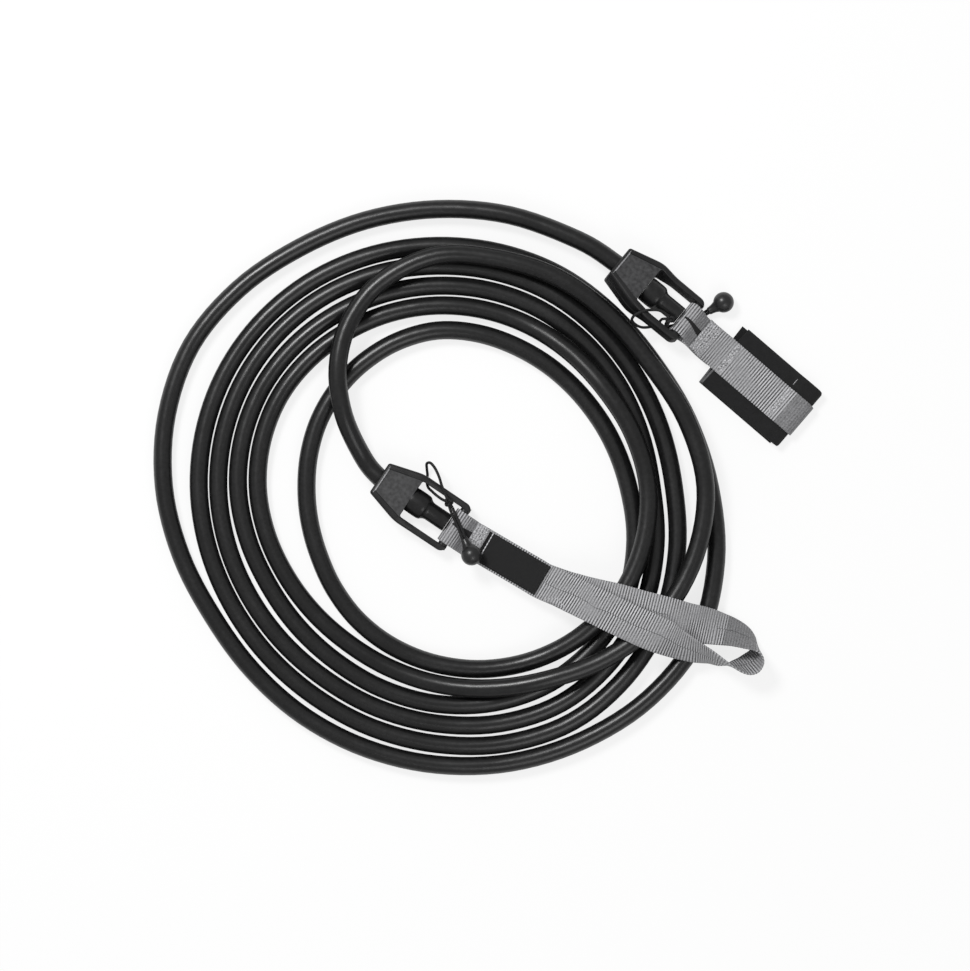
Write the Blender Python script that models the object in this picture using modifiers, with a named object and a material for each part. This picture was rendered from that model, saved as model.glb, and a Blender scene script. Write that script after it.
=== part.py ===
"""Stationary swim tether: a coiled latex tube between an anchor fitting with a webbing loop
and an ankle fitting with a folded cuff, laid out flat on a floor.

World axes: +Z up from the floor, +X to the right and +Y to the back of the laid-out tether.
Each fitting is modelled along its own axis: X from the tube to the bar, Y along the bar.
"""
import math

import bmesh
import bpy
from mathutils import Matrix, Vector

MM = 0.001
DEG = math.pi / 180

# General clearances
GAP = 0.3 * MM
OVERRUN = 2.0 * MM

# Tube and its coil
TUBE_DIAMETER = 12.5 * MM
TUBE_FLOOR_GAP = 0.1 * MM
LEVEL_SPARE = 0.55 * MM
COIL_RADIUS = 200.0 * MM
COIL_START = 60
STATION_STEP = 30
POINTS_PER_LOOP = 24

# Fitting block
BLOCK_LENGTH = 25.5 * MM
BLOCK_THICKNESS = 18.0 * MM
BLOCK_END_WIDTH = 23.8 * MM
FITTING_WIDTH = 37.6 * MM
FLARE_LENGTH = 23.0 * MM
BLOCK_CORNER_RADIUS = 1.6 * MM
BLOCK_CHAMFER = 1.8 * MM
FACE_RIM = 1.6 * MM
FACE_RECESS = 0.7 * MM
PARTING_GROOVE = 0.7 * MM
BORE_CLEARANCE = 0.3 * MM

# Fitting frame and bar
FITTING_LENGTH = 64.0 * MM
FRAME_THICKNESS = 9.5 * MM
FRAME_STEP = 0.25 * MM
FRAME_EDGE = 1.3 * MM
FRAME_CORNER_RADIUS = 5.0 * MM
ARM_WIDTH = 4.7 * MM
WINDOW_CORNER_RADIUS = 1.5 * MM
BAR_WIDTH = 6.5 * MM
BAR_THICKNESS = 7.6 * MM
BAR_EDGE = 3.0 * MM

# Formed tube end and its plug
BULGE_DIAMETER = 18.0 * MM
BULGE_LENGTH = 12.5 * MM
TAIL_DIAMETER = 12.7 * MM
TAIL_BORE = 6.4 * MM
END_WALL = 1.4 * MM
PLUG_DIAMETER = 11.0 * MM
PLUG_LENGTH = 9.5 * MM

# Where the fittings lie
ANCHOR_PLACE = (-38.7 * MM, 6.3 * MM)
ANCHOR_YAW = -33.9 * DEG
ANKLE_PLACE = (121.5 * MM, 150.6 * MM)
ANKLE_YAW = -39.5 * DEG
ANKLE_ROLL = 20.0 * DEG

# Webbing
WEB_WIDTH = 25.0 * MM
WEB_THICKNESS = 1.4 * MM
BAR_LOOP_JOIN = 12.0 * MM
BAR_LOOP_LENGTH = 24.0 * MM
WEB_START = 12.4 * MM
STRAP_LIFT = 0.5 * MM
STRAP_HEADING = 3.6 * DEG
STRAP_PITCH = 3.8 * DEG

# Anchor loop and label
LOOP_REACH = 220.0 * MM
LABEL_START = 22.3 * MM
LABEL_END = 69.5 * MM
LABEL_WIDTH = 22.0 * MM
LABEL_THICKNESS = 0.8 * MM

# Ankle strap and cuff
CUFF_YAW = -40.7 * DEG
ANKLE_LOOP_LENGTH = 30.0 * MM
BAND_WIDTH = 48.0 * MM
BAND_THICKNESS = 2.4 * MM
BAND_CORNER_RADIUS = 5.0 * MM
UPPER_BAND_START = 37.6 * MM
LOWER_BAND_START = 33.6 * MM
LOWER_BAND_SHIFT = 3.0 * MM
FOLD_CENTRE = 97.8 * MM
FOLD_BULGE = 1.9 * MM
WEB_FOLD_TURN = 130 * DEG
BULGE_START = 80.0 * MM
PATCH_THICKNESS = 1.0 * MM
PATCH_MARGIN = 3.0 * MM
PATCH_EDGE = 0.3 * MM

# Tie cords and balls
TIE_DIAMETER = 1.9 * MM
TIE_SPACING = 2.4 * MM
KNOT_CORD_DIAMETER = 1.6 * MM
KNOT_RADIUS = 3.0 * MM
KNOT_HEIGHT = 2.5 * MM
BALL_DIAMETER = 14.0 * MM
NECK_LENGTH = 5.0 * MM
NECK_DIAMETER = 6.4 * MM
NECK_BORE = 4.9 * MM
NECK_BORE_DEPTH = 4.2 * MM
NECK_TURN = 35 * DEG
NECK_SWELL_SHARE = 1.08

# Profiles of the swollen end and of its plug: along and radius as shares of their own sizes
BULGE_SHARES = ((0, 0.75), (0.04, 0.92), (0.11, 0.97), (0.55, 1.0), (0.85, 0.96), (1.0, 0.87))
PLUG_SHARES = ((0, 0), (0, 0.90), (0.07, 1.0), (0.81, 1.0), (1.0, 0.75), (1.0, 0))

# Radii of the coil's loops, as shares of the coil's radius, every 30 degrees from 60 degrees on
LOOP_SHARES = (
    (0.962, 0.941, 0.935, 0.961, 0.925, 0.877, 0.898, 0.941, 0.991, 1.020, 0.925, 0.845),
    (0.830, 0.817, 0.817, 0.815, 0.807, 0.802, 0.822, 0.871, 0.918, 0.882, 0.803, 0.771),
    (0.763, 0.750, 0.751, 0.748, 0.741, 0.736, 0.753, 0.802, 0.845, 0.808, 0.728, 0.705),
    (0.696, 0.682, 0.678, 0.681, 0.674, 0.660, 0.683, 0.735, 0.767, 0.739, 0.649, 0.583),
    (0.547, 0.530, 0.491, 0.459, 0.442, 0.462, 0.526, 0.600, 0.673, 0.719, 0.712, 0.656),
    (0.630, 0.615, 0.609, 0.615, 0.607, 0.593, 0.608, 0.666, 0.749, 0.871, 0.906, 0.831),
    (0.815, 0.780),
)

# How far each station is lifted, as shares of the step from one level of loops to the next
LIFT_SHARES = (
    (0.54, 0.10, 0, 0, 0, 0, 0, 0, 0, 0, 0, 0),
    (0, 0, 0, 0, 0, 0, 0, 0, 0, 0, 0, 0),
    (0, 0, 0, 0, 0, 0, 0, 0, 0, 0, 0, 0),
    (0, 0, 0, 0, 0, 0, 0, 0, 0, 0, 0, 0),
    (0, 0, 0, 0, 0, 0, 0, 0, 0.16, 1, 1, 1.1),
    (0.12, 0, 0, 0, 0, 0, 0, 0.3, 1.05, 1, 1, 1),
    (1, 1),
)

# The tube's lead from the last loop to the anchor fitting: place as shares of the coil's
# radius and lift as a share of the step between levels
LEAD_SHARES = (
    (-0.106, 0.745, 1.0), (-0.184, 0.694, 1.0), (-0.245, 0.633, 1.0), (-0.293, 0.558, 1.0),
    (-0.320, 0.480, 1.0), (-0.333, 0.401, 1.04), (-0.330, 0.333, 1.06), (-0.313, 0.242, 0.72),
    (-0.285, 0.170, 0.35), (-0.265, 0.110, 0.20),
)

# The anchor loop, from the label out along its upper ply and back along its lower one:
# along and across as shares of the reach, height as a share of two levels of tube, plies of
# webbing below, and the lean of the edge that stands up as shares of the width
ANCHOR_LOOP_SHARES = (
    (0.377, 0.026, 0.681, 1, 0.00, 0.98), (0.432, 0.035, 0.873, 1, -0.03, 0.99),
    (0.477, 0.042, 1.030, 1, -0.06, 0.99), (0.541, 0.051, 1.070, 1, -0.08, 0.99),
    (0.609, 0.061, 1.073, 1, -0.09, 0.99), (0.668, 0.071, 1.076, 1, -0.12, 0.985),
    (0.718, 0.081, 1.040, 1, -0.16, 0.945), (0.770, 0.088, 0.830, 1, -0.25, 0.76),
    (0.825, 0.100, 0.750, 1, -0.36, 0.53), (0.870, 0.110, 0.497, 1, -0.24, 0.34),
    (0.906, 0.114, 0.544, 0, -0.09, 0.23), (0.934, 0.120, 0.548, 0, 0.06, 0.08),
    (0.957, 0.129, 0.520, 0, 0.31, -0.06), (0.977, 0.143, 0.485, 0, 0.46, -0.15),
    (0.990, 0.164, 0.470, 0, 0.52, -0.16), (0.993, 0.189, 0.497, 0, 0.42, -0.10),
    (0.985, 0.209, 0.528, 0, 0.24, -0.14), (0.968, 0.219, 0.524, 0, 0.12, -0.28),
    (0.933, 0.220, 0.478, 0, 0.13, -0.54), (0.885, 0.210, 0.440, 0, 0.22, -0.72),
    (0.808, 0.182, 0.670, 0, 0.34, -0.92), (0.750, 0.161, 0.930, 0, 0.34, -0.93),
    (0.688, 0.141, 1.066, 0, 0.34, -0.94), (0.614, 0.115, 1.062, 0, 0.33, -0.94),
    (0.541, 0.091, 1.062, 0, 0.32, -0.947), (0.486, 0.070, 1.030, 0, 0.25, -0.965),
    (0.432, 0.050, 0.861, 0, 0.16, -0.985), (0.377, 0.032, 0.672, 0, 0.10, -0.99),
)

# The middle of the loop's open eye, as shares of the reach
EYE_SHARES = (0.90, 0.165)

# Tie cords in their fitting's own axes: along from the block's end, across and height as
# shares of the length beyond the block, the half width and the half frame thickness
ANCHOR_TIE_SHARES = (
    (0.470, 0.612, 1.39), (0.338, 0.617, 1.16), (0.220, 0.649, 0.32), (0.156, 0.670, -0.53),
    (0.104, 0.745, -1.18), (0.071, 0.894, -1.37), (0.047, 1.090, -1.31), (-0.012, 1.255, -0.88),
    (-0.071, 1.410, -0.25), (-0.034, 1.480, 0.42), (0.071, 1.394, 0.97), (0.207, 1.213, 1.31),
    (0.325, 1.010, 1.37), (0.413, 0.890, 1.39), (0.488, 0.785, 1.40),
)
ANKLE_TIE_SHARES = (
    (0.556, -0.404, 1.47), (0.428, -0.521, 1.52), (0.312, -0.702, 1.43), (0.225, -0.894, 1.35),
    (0.177, -1.080, 1.22), (0.149, -1.218, 0.67), (0.169, -1.293, -0.17), (0.262, -1.266, -0.84),
    (0.382, -1.150, -1.26), (0.485, -0.936, -1.37), (0.548, -0.739, -1.33),
    (0.571, -0.628, -0.74), (0.574, -0.612, 0.10), (0.574, -0.612, 0.84),
)

# Ball cords in their fitting's axes, from the knot to the ball's neck, in the same shares
ANCHOR_BALL_SHARES = (
    (0.681, 0.532, 1.49), (0.766, 0.410, 1.52), (0.870, 0.277, 1.56), (0.973, 0.149, 1.66),
    (1.065, 0.021, 1.85), (1.116, -0.056, 2.08), (1.194, -0.154, 2.18),
)
ANKLE_BALL_SHARES = (
    (0.676, -0.543, 0.86), (0.682, -0.543, 0.00), (0.694, -0.532, -0.95), (0.741, -0.457, -1.73),
    (0.844, -0.160, -1.83), (0.962, 0.240, -1.79), (1.047, 0.574, -1.60), (1.091, 0.824, -1.01),
    (1.125, 0.995, -0.61),
)
ANCHOR_KNOT_SHARES = (0.584, 0.654, 1.526)
ANKLE_KNOT_SHARES = (0.668, -0.500, 1.42)
ANCHOR_BALL_PLACE_SHARES = (1.434, -0.457, 2.51)
ANKLE_BALL_PLACE_SHARES = (1.216, 1.463, 0.48)

# Sizes that follow from those above
TUBE_RADIUS = TUBE_DIAMETER / 2
LEVEL_STEP = TUBE_DIAMETER + LEVEL_SPARE
TUBE_LEVEL = TUBE_RADIUS + TUBE_FLOOR_GAP
STACK_HEIGHT = TUBE_LEVEL + LEVEL_STEP + TUBE_RADIUS
PLY_STEP = WEB_THICKNESS + GAP
BAR_CENTRE = FITTING_LENGTH - BAR_WIDTH / 2
BAR_REACH = max(BAR_WIDTH, BAR_THICKNESS) / 2
BAR_LOOP_RADIUS = BAR_REACH + GAP + WEB_THICKNESS / 2
ANCHOR_HEIGHT = BLOCK_THICKNESS / 2
ANKLE_HEIGHT = ((FITTING_WIDTH / 2 - BLOCK_CHAMFER) * math.sin(ANKLE_ROLL)
                + BLOCK_THICKNESS / 2 * math.cos(ANKLE_ROLL))
LOWER_BAND_LEVEL = GAP + BAND_THICKNESS / 2
HOOK_LEVEL = LOWER_BAND_LEVEL + BAND_THICKNESS / 2 + GAP + PATCH_THICKNESS / 2
PATCH_LEVEL = HOOK_LEVEL + PATCH_THICKNESS + GAP
UPPER_BAND_LEVEL = PATCH_LEVEL + PATCH_THICKNESS / 2 + GAP + BAND_THICKNESS / 2
CUFF_WEB_LEVEL = UPPER_BAND_LEVEL + BAND_THICKNESS / 2 + GAP + WEB_THICKNESS / 2
TAIL_END = BAR_CENTRE - BAR_LOOP_RADIUS - WEB_THICKNESS / 2 - GAP

# Finishes: colour, roughness and metallic value
RUBBER = ((0.030, 0.030, 0.032), 0.38, 0.0)
PLASTIC = ((0.055, 0.055, 0.058), 0.48, 0.0)
NYLON = ((0.160, 0.160, 0.165), 0.75, 0.0)
BAND = ((0.022, 0.022, 0.024), 0.90, 0.0)
CORD = ((0.120, 0.120, 0.125), 0.70, 0.0)
BALL = ((0.045, 0.045, 0.048), 0.35, 0.0)


def clear_scene():
    """Empty the scene, so that the script can run again in the same file."""
    for item in list(bpy.data.objects):
        bpy.data.objects.remove(item, do_unlink=True)


def new_collection(name):
    """A collection linked into the scene."""
    made = bpy.data.collections.new(name)
    bpy.context.scene.collection.children.link(made)
    return made


def finish_material(name, finish):
    """A Principled material with the finish's colour, roughness and metallic value."""
    colour, roughness, metallic = finish
    made = bpy.data.materials.new(name)
    made.use_nodes = True
    shader = made.node_tree.nodes["Principled BSDF"]
    shader.inputs["Base Color"].default_value = (*colour, 1)
    shader.inputs["Roughness"].default_value = roughness
    shader.inputs["Metallic"].default_value = metallic
    return made


def add_part(name, data, parent, finish):
    """Put a mesh or curve in the parts' collection under its frame, with a material."""
    part = bpy.data.objects.new(name, data)
    PARTS.objects.link(part)
    part.parent = parent
    if finish:
        data.materials.append(finish_material(name, finish))
    return part


def add_frame(name, parent, location=(0, 0, 0), rotation=None):
    """An empty that carries pieces, with its origin on their joint's axis."""
    frame = bpy.data.objects.new(name, None)
    PARTS.objects.link(frame)
    frame.parent = parent
    frame.location = location
    if rotation:
        frame.rotation_euler = rotation.to_euler()
    return frame


def combine(part, other, operation):
    """Join a helper to a part, or cut it out, with an exact Boolean."""
    PARTS.objects.unlink(other)
    CUTTERS.objects.link(other)
    other.hide_render = True
    other.display_type = "WIRE"
    boolean = part.modifiers.new(other.name, "BOOLEAN")
    boolean.object = other
    boolean.operation = operation
    boolean.solver = "EXACT"


def catmull(before, start, end, after, share):
    """A Catmull-Rom value between start and end."""
    cubic = -before + 3 * start - 3 * end + after
    square = 2 * before - 5 * start + 4 * end - after
    return start + share * ((end - before) + share * (square + share * cubic)) / 2


def smooth_rows(rows, steps):
    """Rows of numbers, with smooth ones added so that each stretch has the given steps."""
    smoothed = []
    last = len(rows) - 1
    for index in range(last):
        corners = [rows[min(max(index + offset, 0), last)] for offset in (-1, 0, 1, 2)]
        for step in range(steps):
            smoothed.append([catmull(*values, step / steps) for values in zip(*corners)])
    smoothed.append(list(rows[last]))
    return smoothed


def smooth_step(value, start, end):
    """Zero before the start, one after the end and smooth between."""
    share = min(max((value - start) / (end - start), 0), 1)
    return share * share * (3 - 2 * share)


def loft(name, rings):
    """A closed mesh through rings of equal count, capped at both ends."""
    mesh = bpy.data.meshes.new(name)
    work = bmesh.new()
    loops = [[work.verts.new(point) for point in ring] for ring in rings]
    for first, second in zip(loops, loops[1:]):
        for index in range(len(first)):
            following = (index + 1) % len(first)
            work.faces.new((first[index], first[following], second[following], second[index]))
    work.faces.new(reversed(loops[0]))
    work.faces.new(loops[-1])
    bmesh.ops.recalc_face_normals(work, faces=work.faces)
    work.to_mesh(mesh)
    work.free()
    return mesh


def inset_corners(corners, inset):
    """The corners of a convex outline, counterclockwise, with every side moved inwards."""
    moved = []
    for index, corner in enumerate(corners):
        here = Vector(corner)
        along_in = (here - Vector(corners[index - 1])).normalized()
        along_out = (Vector(corners[(index + 1) % len(corners)]) - here).normalized()
        inward = Vector((-along_in.y, along_in.x)) + Vector((-along_out.y, along_out.x))
        moved.append(here + inward * inset / (1 + along_in.dot(along_out)))
    return moved


def rounded_outline(corners, radii, steps=4):
    """A convex outline, counterclockwise, with an arc of the given radius at each corner."""
    outline = []
    for index, radius in enumerate(radii):
        here = Vector(corners[index])
        back = (Vector(corners[index - 1]) - here).normalized()
        ahead = (Vector(corners[(index + 1) % len(corners)]) - here).normalized()
        half_angle = back.angle(ahead) / 2
        centre = here + (back + ahead).normalized() * radius / math.sin(half_angle)
        start = here + back * radius / math.tan(half_angle) - centre
        turn = math.pi - 2 * half_angle
        for step in range(steps + 1):
            outline.append(centre + Matrix.Rotation(turn * step / steps, 2) @ start)
    return outline


def plate_rings(corners, radii, levels):
    """Rings of one outline at several levels, each drawn in by its own inset."""
    rings = []
    for height, inset in levels:
        drawn = [max(radius - inset, radius / 4) for radius in radii]
        outline = rounded_outline(inset_corners(corners, inset), drawn)
        rings.append([(point.x, point.y, height) for point in outline])
    return rings


def turned(name, profile, parent, finish, steps=24):
    """A solid turned about its frame's X axis from a profile of places along it and radii."""
    mesh = bpy.data.meshes.new(name)
    work = bmesh.new()
    points = [work.verts.new((along, radius, 0)) for along, radius in profile]
    for first, second in zip(points, points[1:]):
        work.edges.new((first, second))
    work.to_mesh(mesh)
    work.free()
    part = add_part(name, mesh, parent, finish)
    screw = part.modifiers.new("Turn", "SCREW")
    screw.axis = "X"
    screw.steps = steps
    screw.render_steps = steps
    screw.use_merge_vertices = True
    screw.merge_threshold = TIE_DIAMETER / 100
    screw.use_normal_calculate = True
    return part


def tube_curve(name, points, diameter, sides_level, closed=False):
    """A round tube along points, with filled ends."""
    curve = bpy.data.curves.new(name, "CURVE")
    curve.dimensions = "3D"
    curve.twist_mode = "Z_UP"
    curve.bevel_depth = diameter / 2
    curve.bevel_resolution = sides_level
    curve.use_fill_caps = True
    spline = curve.splines.new("POLY")
    spline.points.add(len(points) - 1)
    for place, point in zip(spline.points, points):
        place.co = (*point, 1)
    spline.use_cyclic_u = closed
    return curve


def ribbon(name, rows, thickness, parent, finish, columns=2):
    """A strip of cloth through rows of a centre, an edge direction and a half width."""
    mesh = bpy.data.meshes.new(name)
    work = bmesh.new()
    bmesh.ops.create_grid(work, x_segments=columns, y_segments=len(rows) - 1, size=1)
    for vertex in work.verts:
        row = round((vertex.co.y + 1) / 2 * (len(rows) - 1))
        centre, edge, half_width = rows[row]
        vertex.co = centre + edge * half_width * vertex.co.x
    work.to_mesh(mesh)
    work.free()
    part = add_part(name, mesh, parent, finish)
    solid = part.modifiers.new("Thickness", "SOLIDIFY")
    solid.thickness = thickness
    solid.offset = 0
    solid.use_even_offset = True
    return part


def round_bar(name, radius, length):
    """A cylinder along X about its middle."""
    mesh = bpy.data.meshes.new(name)
    work = bmesh.new()
    bmesh.ops.create_cone(work, cap_ends=True, segments=32, radius1=radius, radius2=radius,
                          depth=length, matrix=Matrix.Rotation(math.pi / 2, 4, "Y"))
    work.to_mesh(mesh)
    work.free()
    return mesh


def make_shackle(name, frame):
    """A moulded fitting: a thick grooved block with a bore, two arms and a bar."""
    half = FITTING_WIDTH / 2
    end_half = BLOCK_END_WIDTH / 2
    corners = [(0, -end_half), (FLARE_LENGTH, -half), (BLOCK_LENGTH, -half),
               (BLOCK_LENGTH, half), (FLARE_LENGTH, half), (0, end_half)]
    radii = [BLOCK_CORNER_RADIUS] * len(corners)
    top = BLOCK_THICKNESS / 2
    shoulder = top - BLOCK_CHAMFER
    rim = BLOCK_CHAMFER + FACE_RIM
    groove = PARTING_GROOVE
    levels = [(-top + FACE_RECESS, rim + FACE_RECESS / 2), (-top, rim), (-top, BLOCK_CHAMFER),
              (-shoulder, 0), (-groove, 0), (0, groove), (groove, 0), (shoulder, 0),
              (top, BLOCK_CHAMFER), (top, rim), (top - FACE_RECESS, rim + FACE_RECESS / 2)]
    shackle = add_part(name, loft(name, plate_rings(corners, radii, levels)), frame, PLASTIC)

    frame_half = half - FRAME_STEP
    frame_start = BLOCK_LENGTH / 2
    neck_half = (frame_half + end_half) / 2 - FRAME_STEP
    corners = [(frame_start, -neck_half), (FLARE_LENGTH, -frame_half),
               (FITTING_LENGTH, -frame_half), (FITTING_LENGTH, frame_half),
               (FLARE_LENGTH, frame_half), (frame_start, neck_half)]
    radii = [FRAME_EDGE, FRAME_EDGE, FRAME_CORNER_RADIUS, FRAME_CORNER_RADIUS,
             FRAME_EDGE, FRAME_EDGE]
    top = FRAME_THICKNESS / 2
    levels = [(-top, FRAME_EDGE), (-top + FRAME_EDGE / 3, FRAME_EDGE / 3), (-top + FRAME_EDGE, 0),
              (top - FRAME_EDGE, 0), (top - FRAME_EDGE / 3, FRAME_EDGE / 3), (top, FRAME_EDGE)]
    plate = add_part(name + "_plate", loft(name, plate_rings(corners, radii, levels)), frame, None)

    window_half = half - ARM_WIDTH
    window_start = BLOCK_LENGTH - BLOCK_CHAMFER
    window_end = FITTING_LENGTH + OVERRUN + FRAME_CORNER_RADIUS
    corners = [(window_start, -window_half), (window_end, -window_half),
               (window_end, window_half), (window_start, window_half)]
    radii = [WINDOW_CORNER_RADIUS] * len(corners)
    flare = FRAME_EDGE / 2
    levels = [(-top - OVERRUN, -OVERRUN - flare), (-top + flare, 0), (top - flare, 0),
              (top + OVERRUN, -OVERRUN - flare)]
    window = add_part(name + "_window", loft(name, plate_rings(corners, radii, levels)),
                      frame, None)
    combine(plate, window, "DIFFERENCE")

    bar_half = BAR_WIDTH / 2
    corners = [(-bar_half, -BAR_THICKNESS / 2), (bar_half, -BAR_THICKNESS / 2),
               (bar_half, BAR_THICKNESS / 2), (-bar_half, BAR_THICKNESS / 2)]
    section = rounded_outline(corners, [BAR_EDGE] * len(corners))
    reach = half - ARM_WIDTH / 2
    rings = [[(BAR_CENTRE + point.x - FRAME_STEP, side, point.y) for point in section]
             for side in (-reach, reach)]
    bar = add_part(name + "_bar", loft(name, rings), frame, None)

    bore = add_part(name + "_bore", round_bar(name + "_bore", TUBE_RADIUS + BORE_CLEARANCE,
                                              BLOCK_LENGTH + 2 * OVERRUN), frame, None)
    bore.location.x = BLOCK_LENGTH / 2
    combine(shackle, plate, "UNION")
    combine(shackle, bar, "UNION")
    combine(shackle, bore, "DIFFERENCE")


def make_tube_end(prefix, frame):
    """The tube's formed end, swollen over a plug that keeps it from pulling through."""
    start = BLOCK_LENGTH + GAP
    bulge = BULGE_DIAMETER / 2
    tail = TAIL_DIAMETER / 2
    bulge_end = start + BULGE_LENGTH
    cavity_start = start + END_WALL
    cavity = PLUG_DIAMETER / 2 + GAP
    cavity_end = cavity_start + PLUG_LENGTH + 2 * GAP
    bore = TAIL_BORE / 2
    swell = [(start + along * BULGE_LENGTH, radius * bulge) for along, radius in BULGE_SHARES]
    tail_part = [(bulge_end + END_WALL, tail + END_WALL / 4), (bulge_end + 2 * END_WALL, tail),
                 (TAIL_END, tail), (TAIL_END, bore)]
    inner = [(cavity_end + END_WALL, bore), (cavity_end, (cavity + bore) / 2),
             (cavity_end - END_WALL, cavity), (cavity_start, cavity), (cavity_start, 0)]
    turned(prefix + "_tube_end", [(start, 0)] + swell + tail_part + inner, frame, RUBBER)

    profile = [(cavity_start + GAP + along * PLUG_LENGTH, radius * PLUG_DIAMETER / 2)
               for along, radius in PLUG_SHARES]
    turned(prefix + "_stop_plug", profile, frame, PLASTIC)


def coil_points():
    """The tube's centre line: coil loops worked out from their radii, after the ankle end."""
    radii = [[share] for loop in LOOP_SHARES for share in loop]
    lifts = [[share] for loop in LIFT_SHARES for share in loop]
    steps = POINTS_PER_LOOP * STATION_STEP // 360
    points = []
    rows = zip(smooth_rows(radii, steps), smooth_rows(lifts, steps))
    for index, ((radius,), (lift,)) in enumerate(rows):
        angle = (COIL_START + index * STATION_STEP / steps) * DEG
        points.append(Vector((COIL_RADIUS * radius * math.cos(angle),
                              COIL_RADIUS * radius * math.sin(angle),
                              TUBE_LEVEL + LEVEL_STEP * lift)))
    return points


def run_through_block(frame):
    """The tube's straight run from inside a fitting's block to one diameter outside it."""
    places = (BLOCK_LENGTH - GAP / 2, BLOCK_LENGTH / 2, 0, -TUBE_DIAMETER / 2, -TUBE_DIAMETER)
    return [frame.matrix_world @ Vector((along, 0, 0)) for along in places]


def make_tube(root, anchor, ankle):
    """The latex tube, from the ankle fitting round its loops to the anchor fitting."""
    anchor_run = list(reversed(run_through_block(anchor)))
    coil = coil_points()
    lead = [Vector((COIL_RADIUS * along, COIL_RADIUS * across, TUBE_LEVEL + LEVEL_STEP * lift))
            for along, across, lift in LEAD_SHARES]
    lead = smooth_rows([coil[-1]] + lead + anchor_run[:1], 2)[1:-1]
    points = run_through_block(ankle) + coil + [Vector(point) for point in lead] + anchor_run
    tube = add_part("latex_tube", tube_curve("latex_tube", points, TUBE_DIAMETER, 1), root, RUBBER)
    return tube, points


def segment_distance(first, second):
    """The least distance between two straight segments, each a pair of points."""
    (start, end), (other_start, other_end) = first, second
    along, other = end - start, other_end - other_start
    between = start - other_start
    a, b, c = along.dot(along), along.dot(other), other.dot(other)
    d, e = along.dot(between), other.dot(between)
    spread = a * c - b * b
    share = min(max((b * e - c * d) / spread, 0), 1) if spread > 0 else 0
    other_share = min(max((b * share + e) / c, 0), 1)
    share = min(max((b * other_share - d) / a, 0), 1)
    return (between + along * share - other * other_share).length


def least_gap(points):
    """The tube's least gap to itself, between stretches a loop's quarter or more apart."""
    apart = POINTS_PER_LOOP // 4
    stretches = list(zip(points, points[1:]))
    best = (1, 0, 0)
    for index, stretch in enumerate(stretches):
        for other in range(index + apart, len(stretches)):
            gap = segment_distance(stretch, stretches[other]) - TUBE_DIAMETER
            best = min(best, (gap, index, other))
    return best


def strap_row(along, height, lean=(0.0, 0.0), across=0.0, half_width=WEB_WIDTH / 2):
    """A row of webbing across a strap, from its height and its lean: a roll and a heading."""
    roll, heading = lean
    up = Vector((0, math.sin(roll), math.cos(roll)))
    edge = Vector((-math.sin(heading), math.cos(heading) * math.cos(roll), -math.sin(roll)))
    return Vector((along, across, 0)) + up * height, edge, half_width


def make_bar_loop(name, frame, length, base, lean):
    """Webbing round a fitting's bar, its two plies lying together under the strap."""
    rows = []
    steps = 6
    for step in range(steps):
        along = length + (BAR_LOOP_JOIN - length) * step / steps
        rows.append(strap_row(along, base(along), lean(along)))
    for step in range(steps):
        along = BAR_LOOP_JOIN * (1 - step / steps)
        blend = smooth_step(along, 0, BAR_LOOP_JOIN)
        height = BAR_LOOP_RADIUS * (1 - blend) + base(along) * blend
        rows.append(strap_row(along, height, lean(along)))
    turns = 8
    for step in range(turns + 1):
        angle = math.pi * step / turns
        rows.append(strap_row(-BAR_LOOP_RADIUS * math.sin(angle),
                              BAR_LOOP_RADIUS * math.cos(angle), lean(0)))
    for step in range(1, steps + 1):
        along = BAR_LOOP_JOIN * step / steps
        blend = smooth_step(along, 0, BAR_LOOP_JOIN)
        height = -BAR_LOOP_RADIUS * (1 - blend) + (base(along) - PLY_STEP) * blend
        rows.append(strap_row(along, height, lean(along)))
    for step in range(1, steps + 1):
        along = BAR_LOOP_JOIN + (length - BAR_LOOP_JOIN) * step / steps
        rows.append(strap_row(along, base(along) - PLY_STEP, lean(along)))
    ribbon(name, rows, WEB_THICKNESS, frame, NYLON)


def level_lean(along):
    """The anchor's bar loop lies level and square to its bar."""
    return 0.0, 0.0


def anchor_base(along):
    """Height of the anchor strap's middle ply above the bar's centre."""
    return STRAP_LIFT + max(along - BAR_LOOP_JOIN, 0) * math.tan(STRAP_PITCH)


def anchor_row(along, plies, half_width):
    """A row in the straight part of the anchor strap, so many plies above its middle one."""
    across = max(along - WEB_START, 0) * math.tan(STRAP_HEADING)
    height = anchor_base(along) + plies * PLY_STEP
    return strap_row(along, height, (0.0, STRAP_HEADING), across, half_width)


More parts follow.
